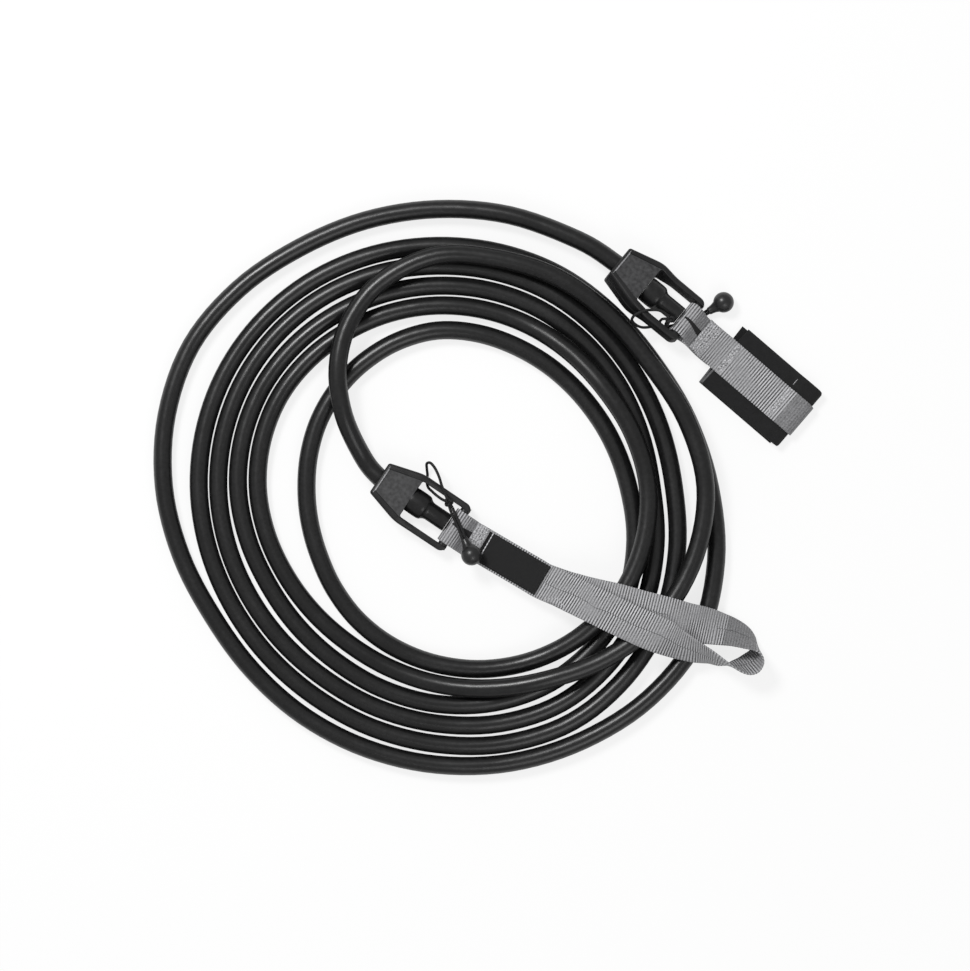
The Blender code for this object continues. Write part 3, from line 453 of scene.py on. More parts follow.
WINDOW_EDGE = 0.6 * MM
BAR_EDGE = 3.0 * MM
OVERRUN = 2.0 * MM
CUT_TOLERANCE = GAP / 1000
CORNER_STEPS = 10
EDGE_STEPS = 5
TAPER_STEPS = 14
BEAD_SIDES = 12
BORE_SIDES = 64
FITTING_CRISP_ANGLE = 30
LEVEL_FACING = 0.95


def inset_corners(corners, inset):
    """The corners of a convex outline, counterclockwise, with every side moved inwards."""
    moved = []
    for index, corner in enumerate(corners):
        here = Vector(corner)
        along_in = (here - Vector(corners[index - 1])).normalized()
        along_out = (Vector(corners[(index + 1) % len(corners)]) - here).normalized()
        inward = Vector((-along_in.y, along_in.x)) + Vector((-along_out.y, along_out.x))
        moved.append(here + inward * inset / (1 + along_in.dot(along_out)))
    return moved


def rounded_outline(corners, radii):
    """A convex outline, counterclockwise, with an arc of the given radius at each corner."""
    outline = []
    for index, radius in enumerate(radii):
        here = Vector(corners[index])
        back = (Vector(corners[index - 1]) - here).normalized()
        ahead = (Vector(corners[(index + 1) % len(corners)]) - here).normalized()
        half_angle = back.angle(ahead) / 2
        centre = here + (back + ahead).normalized() * radius / math.sin(half_angle)
        start = here + back * radius / math.tan(half_angle) - centre
        swing = math.pi - 2 * half_angle
        for step in range(CORNER_STEPS + 1):
            outline.append(centre + Matrix.Rotation(swing * step / CORNER_STEPS, 2) @ start)
    return outline


def plate_rings(corners, radii, levels):
    """Rings of one outline at several levels, each drawn in by its own inset."""
    rings = []
    for height, inset in levels:
        drawn = [max(radius - inset, radius / 4) for radius in radii]
        outline = rounded_outline(inset_corners(corners, inset), drawn)
        rings.append([(point.x, point.y, height) for point in outline])
    return rings


def mirrored(levels):
    """Levels above the middle of a plate, after the same ones below it."""
    return [(-height, inset) for height, inset in reversed(levels) if height] + levels


def lofted(name, rings):
    """A closed shape through rings of equal count, capped at both ends, as an object."""
    work = bmesh.new()
    loops = [[work.verts.new(point) for point in ring] for ring in rings]
    for first, second in zip(loops, loops[1:]):
        for index in range(len(first)):
            following = (index + 1) % len(first)
            work.faces.new((first[index], first[following], second[following], second[index]))
    work.faces.new(reversed(loops[0]))
    work.faces.new(loops[-1])
    return placed(name, finished_mesh(work))


def combine(whole, other, operation):
    """Join a helper to an object, or cut it out, with an exact Boolean."""
    boolean = whole.modifiers.new(other.name, "BOOLEAN")
    boolean.object = other
    boolean.operation = operation
    boolean.solver = "EXACT"


def applied(shaped, *helpers):
    """The mesh that an object's modifiers make. The object and its helpers are removed."""
    bpy.context.view_layer.update()
    depsgraph = bpy.context.evaluated_depsgraph_get()
    mesh = bpy.data.meshes.new_from_object(shaped.evaluated_get(depsgraph))
    for spent in (shaped, *helpers):
        spent_mesh = spent.data
        bpy.data.objects.remove(spent)
        bpy.data.meshes.remove(spent_mesh)
    return mesh


def smooth_step(value, start, end):
    """Zero before the start, one after the end and smooth between."""
    share = min(max((value - start) / (end - start), 0), 1)
    return share * share * (3 - 2 * share)


def tapered(made):
    """Thin a plate's object down beyond the block to the thickness of the arms."""
    work = bmesh.new()
    work.from_mesh(made.data)
    for step in range(TAPER_STEPS + 1):
        place = TAPER_START + (TAPER_END - TAPER_START) * step / TAPER_STEPS
        parts = work.verts[:] + work.edges[:] + work.faces[:]
        bmesh.ops.bisect_plane(work, geom=parts, dist=CUT_TOLERANCE, plane_co=(place, 0, 0),
                               plane_no=(1, 0, 0))
    for vertex in work.verts:
        vertex.co.z *= 1 - ((1 - FRAME_THICKNESS / BLOCK_THICKNESS)
                            * smooth_step(vertex.co.x, TAPER_START, TAPER_END))
    bmesh.ops.triangulate(work, faces=[face for face in work.faces if len(face.verts) > 4])
    work.to_mesh(made.data)
    work.free()
    return made


half = FITTING_WIDTH / 2
end_half = BLOCK_END_WIDTH / 2
frame_half = half - FRAME_STEP
top = BLOCK_THICKNESS / 2
corners = [(0, -end_half), (FLARE_LENGTH, -half), (FITTING_LENGTH, -frame_half),
           (FITTING_LENGTH, frame_half), (FLARE_LENGTH, half), (0, end_half)]
radii = [BLOCK_CORNER_RADIUS, FLARE_RADIUS, FRAME_CORNER_RADIUS, FRAME_CORNER_RADIUS,
         FLARE_RADIUS, BLOCK_CORNER_RADIUS]
levels = [(0, PARTING_GROOVE), (PARTING_GROOVE, 0)]
levels += [(top - BLOCK_EDGE * (1 - math.sin(lift)), BLOCK_EDGE * (1 - math.cos(lift)))
           for lift in (math.pi / 2 * step / EDGE_STEPS for step in range(EDGE_STEPS + 1))]
block = tapered(lofted("block", plate_rings(corners, radii, mirrored(levels))))

window_half = half - ARM_WIDTH
window_end = FITTING_LENGTH + OVERRUN + FRAME_CORNER_RADIUS
corners = [(BLOCK_LENGTH, -window_half), (window_end, -window_half),
           (window_end, window_half), (BLOCK_LENGTH, window_half)]
radii = [WINDOW_CORNER_RADIUS] * 4
levels = [(top - 2 * WINDOW_EDGE, 0), (top - WINDOW_EDGE / 2, -WINDOW_EDGE / 3),
          (top, -WINDOW_EDGE), (top + OVERRUN, -OVERRUN - WINDOW_EDGE)]
window = tapered(lofted("window", plate_rings(corners, radii, mirrored(levels))))

face_half = FACE_END_WIDTH / 2
corners = [(FACE_START, -face_half), (BLOCK_LENGTH, -window_half),
           (BLOCK_LENGTH + OVERRUN, -window_half), (BLOCK_LENGTH + OVERRUN, window_half),
           (BLOCK_LENGTH, window_half), (FACE_START, face_half)]
radii = [FACE_CORNER_RADIUS, GAP, GAP, GAP, GAP, FACE_CORNER_RADIUS]
levels = [(top - FACE_RECESS, 0), (top, -FACE_RECESS / 2), (top + OVERRUN, -FACE_RECESS / 2)]
pockets, beads = [], []
for side in (1, -1):
    rings = [[(along, across, height * side) for along, across, height in ring]
             for ring in plate_rings(corners, radii, levels)]
    pockets.append(lofted("pocket", rings))
    combine(block, pockets[-1], "DIFFERENCE")
    section = [(FACE_START + BEAD_RADIUS * math.cos(angle), BEAD_RADIUS * math.sin(angle))
               for angle in (2 * math.pi * step / BEAD_SIDES for step in range(BEAD_SIDES))]
    beads.append(lofted("bead", [[(along, across, lift + (top - BEAD_RADIUS) * side)
                                  for along, lift in section]
                                 for across in (-face_half, face_half)]))
    combine(block, beads[-1], "UNION")
combine(block, window, "DIFFERENCE")

bar_half = BAR_WIDTH / 2
corners = [(-bar_half, -BAR_THICKNESS / 2), (bar_half, -BAR_THICKNESS / 2),
           (bar_half, BAR_THICKNESS / 2), (-bar_half, BAR_THICKNESS / 2)]
section = rounded_outline(corners, [BAR_EDGE] * 4)
reach = half - ARM_WIDTH / 2
bar = lofted("bar", [[(BAR_CENTRE + point.x - FRAME_STEP, side, point.y) for point in section]
                     for side in (-reach, reach)])

bore_radius = TUBE_DIAMETER / 2 + BORE_CLEARANCE
lip = END_WALL / 2
bore_profile = [(-OVERRUN, 0), (-OVERRUN, bore_radius + lip + OVERRUN), (0, bore_radius + lip),
                (lip, bore_radius), (BLOCK_LENGTH - lip, bore_radius),
                (BLOCK_LENGTH, bore_radius + lip),
                (BLOCK_LENGTH + OVERRUN, bore_radius + lip + OVERRUN), (BLOCK_LENGTH + OVERRUN, 0)]
bore_cutter = placed("bore", turned(bore_profile, BORE_SIDES))
combine(block, bar, "UNION")
combine(block, bore_cutter, "DIFFERENCE")
fitting_mesh = applied(block, window, bar, bore_cutter, *pockets, *beads)

moulded = Finish("moulded_nylon", {"Specular IOR Level": 0.3})
scuffs = moulded.noise(scale=130.0, detail=4.0)
pimples = moulded.noise(scale=2600.0, detail=1.0)
moulded.set({"Base Color": moulded.between(scuffs, grey(0.007), grey(0.022)),
             "Roughness": 0.30 + 0.20 * scuffs})
moulded.relief(pimples + scuffs, depth=0.05 * MM)

eroded = Finish("spark_grained_face", {"Specular IOR Level": 0.35})
cloud = eroded.noise(scale=420.0, detail=5.0)
grain = eroded.noise(scale=3400.0)
eroded.set({"Base Color": eroded.between((cloud - 0.35) * 1.9 + grain * 0.3, grey(0.022),
                                         grey(0.072)),
            "Roughness": 0.52 + 0.2 * cloud})
eroded.relief(grain, depth=0.09 * MM)

# The bead along each face's edge by the tube end carries a painted highlight: its light grey stands
# in for the lamp's reflection on that edge.
painted_bead_highlight = Finish("rubbed_bead", {"Specular IOR Level": 0.5})
highlight_variation = painted_bead_highlight.noise(scale=300.0, detail=3.0)
painted_bead_highlight.set({"Base Color": painted_bead_highlight.between(highlight_variation, grey(0.10), grey(0.42)),
            "Roughness": 0.25 + 0.2 * highlight_variation})

fitting_finishes = (moulded, eroded, painted_bead_highlight)
fitting_mesh.materials.clear()
for finish in fitting_finishes:
    fitting_mesh.materials.append(finish.material)
for face in fitting_mesh.polygons:
    along, across, height = face.center
    on_bead = (abs(along - FACE_START) < BEAD_RADIUS and top - abs(height) < 2 * BEAD_RADIUS
               and abs(across) < face_half)
    on_face = (abs(abs(height) - (top - FACE_RECESS)) < GAP and along < BLOCK_LENGTH
               and abs(face.normal.z) > LEVEL_FACING)
    # The bead's faces take the painted highlight.
    if on_bead:
        face.material_index = fitting_finishes.index(painted_bead_highlight)
    elif on_face:
        face.material_index = fitting_finishes.index(eroded)
for end, axes in FITTING_AXES.items():
    fitting = piece(end + "_fitting", fitting_mesh.copy(), None, end + "_shackle",
                    end + "_shackle", axes)
    crisped(fitting, FITTING_CRISP_ANGLE)


def dress_node(name, finish):
    """Give a finish to a CAD node that is shown as it is."""
    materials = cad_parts[name].data.materials
    materials.clear()
    materials.append(finish.material)


dress_node("anchor_stop_plug", moulded)
dress_node("ankle_stop_plug", moulded)


# The webbing round each bar. It is 25 mm ribbed nylon tape, folded over the bar so that its
# two ends lie flat on each other, where the strap's own end is sewn on top of them.
WEB_WIDTH = 25.0 * MM
PLY_STEP = WEB_THICKNESS + GAP
BAR_LOOP_JOIN = 12.0 * MM
WEB_START = 12.4 * MM
WEB_COLUMNS = 12
STRAP_LIFT = 0.5 * MM
STRAP_HEADING = 3.6
STRAP_PITCH = 3.8
RIB_PITCH = 1.9 * MM
RIB_DEPTH = 0.18 * MM
RIB_ROUNDNESS = 0.7
YARN_PITCH = 0.75 * MM
CREASE_SHADE_WIDTH = 0.35 * MM
CREASE_DRIFT = 7.0 * MM
RIB_SHIFT = 0.9
ROW_STEP = 0.35 * MM
LOOP_STEPS = 6
TURN_STEPS = 8
CURVE_STEPS = 8
LOWER_BAND_START = 33.6 * MM
UPPER_BAND_START = 37.6 * MM

# Each bar loop's length, how far from its end its upper ply is drawn plain, with faint ribs and
# painted shade, and the bar's roll and heading against the strap beyond it
BAR_LOOP_LENGTHS = {"anchor": 24.0 * MM, "ankle": 30.0 * MM}
PLAIN_LENGTHS = {"anchor": 17.5 * MM, "ankle": 27.2 * MM}
BAR_LEANS = {"anchor": (0.0, 0.0), "ankle": (ANKLE_ROLL, ANKLE_YAW - CUFF_YAW)}


def strap_row(along, height, lean=(0.0, 0.0), across=0.0, half_width=WEB_WIDTH / 2):
    """A row across a strap, from its height and its lean in degrees: a roll and a heading."""
    roll, heading = math.radians(lean[0]), math.radians(lean[1])
    up = Vector((0, math.sin(roll), math.cos(roll)))
    edge = Vector((-math.sin(heading), math.cos(heading) * math.cos(roll), -math.sin(roll)))
    return Vector((along, across, 0)) + up * height, edge, half_width


def even_rows(rows, step):
    """Smooth rows a set step apart, made from rows of a centre, an edge and a half width."""
    dense = smooth_rows([(*centre, *edge, half_width) for centre, edge, half_width in rows],
                        CURVE_STEPS)
    centres = [Vector(row[:3]) for row in dense]
    runs = [0.0]
    for start, end in zip(centres, centres[1:]):
        runs.append(runs[-1] + (end - start).length)
    count = max(round(runs[-1] / step), 2)
    evened = []
    place = 0
    for index in range(count + 1):
        run = runs[-1] * index / count
        while place < len(runs) - 2 and runs[place + 1] < run:
            place += 1
        share = (run - runs[place]) / (runs[place + 1] - runs[place])
        row = [start + (end - start) * share for start, end in zip(dense[place], dense[place + 1])]
        evened.append((Vector(row[:3]), Vector(row[3:6]).normalized(), row[6]))
    return evened


def within(value, spans):
    """One inside any of the spans and zero outside, with a soft millimetre at their ends."""
    return max((smooth_step(value, start - MM, start) - smooth_step(value, end, end + MM)
                for start, end in spans), default=0.0)


def strip(rows, thickness, columns=WEB_COLUMNS, plain=(), sewn=(), creased=()):
    """A closed strip of cloth with soft edges, and a map of its length and width in metres.

    Spans drawn plain under painted shade, sewn through or creased go into one vector attribute.
    """
    work = bmesh.new()
    weave = work.loops.layers.uv.new("weave")
    along_layer = work.verts.layers.float.new("along")
    marks_and_light_layer = work.verts.layers.float_vector.new("marks_and_light")
    last = len(rows) - 1
    upper = [(1 - 2 * column / columns, 1) for column in range(columns + 1)]
    edge_share = thickness / WEB_WIDTH / 2
    upper[0] = (1 - edge_share, 1)
    upper[-1] = (edge_share - 1, 1)
    profile = upper + [(-1, 0.5), (-1, -0.5)]
    profile += [(across, -1) for across, lift in reversed(upper)] + [(1, -0.5), (1, 0.5)]
    rings, run = [], 0.0
    for index, (centre, edge, half_width) in enumerate(rows):
        ahead = rows[min(index + 1, last)][0] - rows[max(index - 1, 0)][0]
        normal = ahead.cross(edge).normalized()
        if index:
            run += (centre - rows[index - 1][0]).length
        ring = []
        for across, lift in profile:
            vertex = work.verts.new(centre + edge * half_width * across
                                    + normal * thickness / 2 * lift)
            vertex[along_layer] = run
            vertex[marks_and_light_layer] = (within(run, plain), within(run, sewn), within(run, creased))
            ring.append((vertex, (across * half_width + WEB_WIDTH, run)))
        rings.append(ring)
    count = len(profile)
    for first, second in zip(rings, rings[1:]):
        for index in range(count):
            beside = (index + 1) % count
            around = (first[index], first[beside], second[beside], second[index])
            face = work.faces.new([vertex for vertex, place in around])
            for loop, (vertex, place) in zip(face.loops, around):
                loop[weave].uv = place
    for ring in (rings[0], rings[-1]):
        face = work.faces.new([vertex for vertex, place in ring])
        for loop, (vertex, place) in zip(face.loops, ring):
            loop[weave].uv = place
    return finished_mesh(work)


def new_nodes(name, inputs):
    """A Geometry Nodes tree with a geometry in and out and the named inputs."""
    tree = bpy.data.node_groups.new(name, "GeometryNodeTree")
    tree.interface.new_socket("Geometry", in_out="INPUT", socket_type="NodeSocketGeometry")
    for title, kind in inputs.items():
        tree.interface.new_socket(title, in_out="INPUT", socket_type=kind)
    tree.interface.new_socket("Geometry", in_out="OUTPUT", socket_type="NodeSocketGeometry")
    source = tree.nodes.new("NodeGroupInput")
    nodes = Tree(tree)
    given = {output.name: Socket(nodes, output) for output in source.outputs if output.name}
    return nodes, given


def through_nodes(mesh, nodes, values):
    """A mesh put through a Geometry Nodes tree, with the named inputs set."""
    shaped = placed("raw", mesh)
    modifier = shaped.modifiers.new("nodes", "NODES")
    modifier.node_group = nodes.tree
    for item in nodes.tree.interface.items_tree:
        if item.in_out == "INPUT" and item.name in values:
            modifier[item.identifier] = values[item.name]
    return applied(shaped)


rib_nodes, given = new_nodes("webbing_ribs", {
    "Pitch": "NodeSocketFloat", "Depth": "NodeSocketFloat", "Material": "NodeSocketMaterial"})
along = rib_nodes.node("GeometryNodeInputNamedAttribute", {"data_type": "FLOAT"}, {"Name": "along"})
wave = abs((along.maths("DIVIDE", given["Pitch"]) * math.pi).sine())
inward = (wave ** RIB_ROUNDNESS - 1) * given["Depth"]
normal = rib_nodes.node("GeometryNodeInputNormal")
offset = rib_nodes.node("ShaderNodeVectorMath", {"operation": "SCALE"},
                        {0: normal, "Scale": inward})
moved = rib_nodes.node("GeometryNodeSetPosition", None,
                       {"Geometry": given["Geometry"], "Offset": offset})
real = rib_nodes.node("GeometryNodeRealizeInstances", None, {"Geometry": moved})
ribbed = rib_nodes.node("GeometryNodeSetMaterial", None,
                        {"Geometry": real, "Material": given["Material"]})
rib_nodes.node("NodeGroupOutput", None, {"Geometry": ribbed})

nylon = Finish("ribbed_nylon_webbing", {"Specular IOR Level": 0.3, "Sheen Weight": 0.1,
                                        "Sheen Roughness": 0.5})
across, along = nylon.mapped("weave")
marks_and_light = nylon.node("ShaderNodeAttribute", {"attribute_name": "marks_and_light"}, output="Vector")
plain_shaded_part = nylon.axis(marks_and_light, "X")
sewn_part = nylon.axis(marks_and_light, "Y")
creased_part = nylon.axis(marks_and_light, "Z")
drift = nylon.noise(scale=45.0)
from_crease = across - WEB_WIDTH - (drift - 0.5) * CREASE_DRIFT
beyond = (from_crease > 0) * creased_part
# Along each crease a narrow line of painted shade darkens the cloth.
crease_shade = ((1 - abs(from_crease) * (1 / CREASE_SHADE_WIDTH)) * creased_part).maths("MAXIMUM", 0.0)
rib = abs((along * (math.pi / RIB_PITCH) + RIB_SHIFT * beyond).sine())
yarn = abs((across * (math.pi / YARN_PITCH) + along * (math.pi / RIB_PITCH)).sine())
patches = nylon.noise(scale=55.0)
fuzz = nylon.noise(scale=1900.0)
mottle = nylon.noise(scale=1100.0, detail=3.0)
# Plain parts lose most of the ribs' painted light and take painted shade; sewn parts lose some of
# it.
calm = (1 - plain_shaded_part * 0.85) * (1 - sewn_part * 0.55)
# The ribs' light crests and dark grooves in the base colour are a painted highlight and painted
# shade, stronger in patches.
painted_rib_light = calm * ((patches - 0.32) * 2.5 + 0.18)
shade = (0.27 + (rib ** 2 - 0.5) * painted_rib_light + yarn * 0.07 + fuzz * 0.10
         - plain_shaded_part * 0.16 - crease_shade * 0.35 + (mottle - 0.45) * (0.5 + 1.9 * sewn_part))
nylon.set({"Base Color": nylon.between(shade, grey(0.040), grey(0.66)),
           "Roughness": 0.50 + 0.25 * fuzz})
nylon.relief(rib * calm * 0.6 + yarn * 0.3 + fuzz * 0.4 + mottle * sewn_part, depth=0.16 * MM)


def webbing(name, end, rows, length, held, rests_on, stands_for, **marks_and_light):
    """A ribbed strip of webbing as a piece of an end's strap. Its flat size is not used."""
    mesh = through_nodes(strip(even_rows(rows, ROW_STEP), WEB_THICKNESS, **marks_and_light), rib_nodes, {
        "Pitch": RIB_PITCH, "Depth": RIB_DEPTH, "Material": nylon.material})
    made = piece(name, mesh, None, end + "_strap", stands_for, BAR_AXES[end])


BAND_THICKNESS = 2.4 * MM
PATCH_THICKNESS = 1.0 * MM
LOWER_BAND_LEVEL = GAP + BAND_THICKNESS / 2
HOOK_LEVEL = LOWER_BAND_LEVEL + BAND_THICKNESS / 2 + GAP + PATCH_THICKNESS / 2
PATCH_LEVEL = HOOK_LEVEL + PATCH_THICKNESS + GAP
UPPER_BAND_LEVEL = PATCH_LEVEL + PATCH_THICKNESS / 2 + GAP + BAND_THICKNESS / 2
CUFF_WEB_LEVEL = UPPER_BAND_LEVEL + BAND_THICKNESS / 2 + GAP + WEB_THICKNESS / 2


def middle_ply(end, along):
    """Height of a strap's middle ply above its bar's centre."""
    if end == "anchor":
        return STRAP_LIFT + max(along - BAR_LOOP_JOIN, 0) * math.tan(math.radians(STRAP_PITCH))
    cuff_height = CUFF_WEB_LEVEL - PLY_STEP - ANKLE_HEIGHT
    return cuff_height * smooth_step(along, BAR_LOOP_RADIUS, UPPER_BAND_START)


def strap_lean(end, along):
    """A strap's roll and heading: the bar's at first, and none where the cuff begins."""
    share = 1 - smooth_step(along, BAR_LOOP_RADIUS, LOWER_BAND_START)
    roll, heading = BAR_LEANS[end]
    return roll * share, heading * share


def over_bar(end, along):
    """Height of the upper ply round a bar, from the bar's front to the strap's end."""
    if along < 0:
        return math.sqrt(BAR_LOOP_RADIUS ** 2 - along ** 2)
    blend = smooth_step(along, 0, BAR_LOOP_JOIN)
    return BAR_LOOP_RADIUS * (1 - blend) + middle_ply(end, along) * blend


def bar_loop_rows(end, length):
    """Webbing round a bar, its two plies lying together under the strap."""
    rows = []
    for step in range(LOOP_STEPS):
        along = length + (BAR_LOOP_JOIN - length) * step / LOOP_STEPS
        rows.append(strap_row(along, middle_ply(end, along), strap_lean(end, along)))
    for step in range(LOOP_STEPS):
        along = BAR_LOOP_JOIN * (1 - step / LOOP_STEPS)
        rows.append(strap_row(along, over_bar(end, along), strap_lean(end, along)))
    for step in range(TURN_STEPS + 1):
        angle = math.pi * step / TURN_STEPS
        rows.append(strap_row(-BAR_LOOP_RADIUS * math.sin(angle),
                              BAR_LOOP_RADIUS * math.cos(angle), strap_lean(end, 0)))
    for step in range(1, LOOP_STEPS + 1):
        along = BAR_LOOP_JOIN * step / LOOP_STEPS
        blend = smooth_step(along, 0, BAR_LOOP_JOIN)
        height = -BAR_LOOP_RADIUS * (1 - blend) + (middle_ply(end, along) - PLY_STEP) * blend
        rows.append(strap_row(along, height, strap_lean(end, along)))
    for step in range(1, LOOP_STEPS + 1):
        along = BAR_LOOP_JOIN + (length - BAR_LOOP_JOIN) * step / LOOP_STEPS
        rows.append(strap_row(along, middle_ply(end, along) - PLY_STEP, strap_lean(end, along)))
    return rows


for end, length in BAR_LOOP_LENGTHS.items():
    webbing(end + "_bar_webbing", end, bar_loop_rows(end, length),
            2 * length + math.pi * BAR_LOOP_RADIUS, "folded", [end + "_fitting"],
            end + "_bar_loop", plain=((0, PLAIN_LENGTHS[end]),))


# The wedge of black tape on each bar's webbing. It comes up round the bar's front, widens and
# is caught under the strap's cut end.
WEDGE_START = -2.6 * MM
WEDGE_WIDTHS = (1.3 * MM, 4.6 * MM)
WEDGE_THICKNESS = 0.4 * MM
WEDGE_SINK = 0.15 * MM
WEDGE_SIDES = {"anchor": 2.0 * MM, "ankle": -0.4 * MM}
WEDGE_STEPS = 9

black_tape = Finish("black_tape", {"Specular IOR Level": 0.3})
threads = black_tape.noise(scale=1500.0)
black_tape.set({"Base Color": black_tape.between(threads, grey(0.004), grey(0.020)),
                "Roughness": 0.55 + 0.25 * threads})
black_tape.relief(threads, depth=0.12 * MM)

for end, wedge_side in WEDGE_SIDES.items():
    rows = []
    for step in range(WEDGE_STEPS + 1):
        share = step / WEDGE_STEPS
        along = WEDGE_START + (WEB_START - WEDGE_START) * share
        height = over_bar(end, along) + (WEB_THICKNESS + WEDGE_THICKNESS) / 2 - WEDGE_SINK
        width = WEDGE_WIDTHS[0] + (WEDGE_WIDTHS[1] - WEDGE_WIDTHS[0]) * share
        rows.append(strap_row(along, height, strap_lean(end, along), wedge_side, width / 2))
    piece(end + "_wedge", strip(even_rows(rows, 2 * ROW_STEP), WEDGE_THICKNESS), black_tape,
          end + "_strap", axes=BAR_AXES[end])


# The anchor's strap. One long strip of the same webbing makes an open loop that goes round a
# rail. It lies across the coil with a half turn in it, and both its ends are sewn by the bar.
LOOP_REACH = 220.0 * MM
STACK_HEIGHT = TUBE_LEVEL + LEVEL_STEP + TUBE_DIAMETER / 2
LABEL_START = 22.3 * MM
LABEL_END = 69.5 * MM
ANCHOR_STRAP_LENGTH = 0.478
ANCHOR_PLAIN_SPAN = (233.0 * MM, 255.0 * MM)
ANCHOR_CREASED_SPANS = ((60.0 * MM, 262.0 * MM), (300.0 * MM, 420.0 * MM))
TACK_LENGTH = 9.0 * MM
STRAIGHT_STEPS = 8
LAY_STEPS = 2

# From the label out along the upper ply and back along the lower one: along and across as
# shares of the reach, height of two levels of tube, plies below, and the upper edge's lean
ANCHOR_STRAP_SHARES = (
    (0.377, 0.026, 0.681, 1, 0.00, 0.98), (0.432, 0.035, 0.873, 1, -0.03, 0.99),
    (0.477, 0.042, 1.030, 1, -0.06, 0.99), (0.541, 0.051, 1.070, 1, -0.08, 0.99),
    (0.609, 0.061, 1.073, 1, -0.09, 0.99), (0.668, 0.071, 1.076, 1, -0.12, 0.985),
    (0.718, 0.081, 1.040, 1, -0.16, 0.945), (0.770, 0.088, 0.830, 1, -0.25, 0.76),
    (0.825, 0.100, 0.750, 1, -0.36, 0.53), (0.870, 0.110, 0.497, 1, -0.24, 0.34),
    (0.906, 0.114, 0.544, 0, -0.09, 0.23), (0.934, 0.120, 0.548, 0, 0.06, 0.08),
    (0.957, 0.129, 0.520, 0, 0.31, -0.06), (0.977, 0.143, 0.485, 0, 0.46, -0.15),
    (0.990, 0.164, 0.470, 0, 0.52, -0.16), (0.993, 0.189, 0.497, 0, 0.42, -0.10),
    (0.985, 0.209, 0.528, 0, 0.24, -0.14), (0.968, 0.219, 0.524, 0, 0.12, -0.28),
    (0.933, 0.220, 0.478, 0, 0.13, -0.54), (0.885, 0.210, 0.440, 0, 0.22, -0.72),
    (0.808, 0.182, 0.670, 0, 0.34, -0.92), (0.750, 0.161, 0.930, 0, 0.34, -0.93),
    (0.688, 0.141, 1.066, 0, 0.34, -0.94), (0.614, 0.115, 1.062, 0, 0.33, -0.94),
    (0.541, 0.091, 1.062, 0, 0.32, -0.947), (0.486, 0.070, 1.030, 0, 0.25, -0.965),
    (0.432, 0.050, 0.861, 0, 0.16, -0.985), (0.377, 0.032, 0.672, 0, 0.10, -0.99),
)


def anchor_row(along, plies, half_width):
    """A row in the straight part of the anchor strap, so many plies above its middle one."""
    across = max(along - WEB_START, 0) * math.tan(math.radians(STRAP_HEADING))
    height = middle_ply("anchor", along) + plies * PLY_STEP
    return strap_row(along, height, (0.0, STRAP_HEADING), across, half_width)


def straight_rows(start, end, plies, half_width):
    """Rows of the anchor strap between two places along it."""
    return [anchor_row(start + (end - start) * step / STRAIGHT_STEPS, plies, half_width)
            for step in range(STRAIGHT_STEPS + 1)]


half_web = WEB_WIDTH / 2
rows = straight_rows(WEB_START, LABEL_END, 1, half_web)
for along, across, height, plies, lean_along, lean_across in smooth_rows(ANCHOR_STRAP_SHARES,
                                                                         LAY_STEPS):
    rise = math.sqrt(max(1 - lean_along ** 2 - lean_across ** 2, 0))
    edge = Vector((lean_along, lean_across, rise)).normalized()
    centre = Vector((along * LOOP_REACH, across * LOOP_REACH,
                     height * STACK_HEIGHT + plies * PLY_STEP - ANCHOR_HEIGHT))
    rows.append((centre, edge, half_web))
lower_start = BAR_LOOP_LENGTHS["anchor"] + OVERRUN
rows += [(centre, -edge, width)
         for centre, edge, width in straight_rows(LABEL_END, lower_start, 0, half_web)]
webbing("anchor_strap_webbing", "anchor", rows, ANCHOR_STRAP_LENGTH, "laid",
        ["latex_tube_skin", "anchor_bar_webbing"], "anchor_webbing",
        plain=(ANCHOR_PLAIN_SPAN,), sewn=((0, TACK_LENGTH),), creased=ANCHOR_CREASED_SPANS)


# The stitches that hold the strap to the bar's webbing. They are rows of grey thread laid
# across it by machine, each stitch a short round bead that sinks into the cloth.
THREAD_DIAMETER = 0.55 * MM
STITCH_PITCH = 2.1 * MM
STITCH_LENGTH = 1.7 * MM
BEAD_SEGMENTS = 6
BEAD_RINGS = 5
TACK_ROWS = 6
TACK_MARGIN = 1.2 * MM

stitch_nodes, given = new_nodes("stitches", {
    "Pitch": "NodeSocketFloat", "Length": "NodeSocketFloat", "Thread": "NodeSocketFloat",
    "Material": "NodeSocketMaterial"})
seam = stitch_nodes.node("GeometryNodeMeshToCurve", None, {"Mesh": given["Geometry"]})
holes = stitch_nodes.node("GeometryNodeResampleCurve", {"mode": "LENGTH"},
                          {"Curve": seam, "Length": given["Pitch"]})
way = stitch_nodes.node("GeometryNodeInputTangent")
facing = stitch_nodes.node("FunctionNodeAlignRotationToVector", {"axis": "Z"}, {"Vector": way})
bead = stitch_nodes.node("GeometryNodeMeshUVSphere", None, {
    "Segments": BEAD_SEGMENTS, "Rings": BEAD_RINGS, "Radius": 1.0})
reach = stitch_nodes.node("ShaderNodeCombineXYZ", None, {
    "X": given["Thread"] * 0.5, "Y": given["Thread"] * 0.5, "Z": given["Length"] * 0.5})
laid = stitch_nodes.node("GeometryNodeInstanceOnPoints", None, {
    "Points": holes, "Instance": bead, "Rotation": facing, "Scale": reach})
real = stitch_nodes.node("GeometryNodeRealizeInstances", None, {"Geometry": laid})
sewn = stitch_nodes.node("GeometryNodeSetMaterial", None,
                         {"Geometry": real, "Material": given["Material"]})
stitch_nodes.node("NodeGroupOutput", None, {"Geometry": sewn})


def thread_finish(name, dark, light):
    """Twisted sewing thread between two shades."""
    thread = Finish(name, {"Specular IOR Level": 0.35})
    twist = thread.noise(scale=1700.0)
    thread.set({"Base Color": thread.between(twist, grey(dark), grey(light)),
                "Roughness": 0.45 + 0.2 * twist})
    thread.relief(twist, depth=0.08 * MM)
    return thread


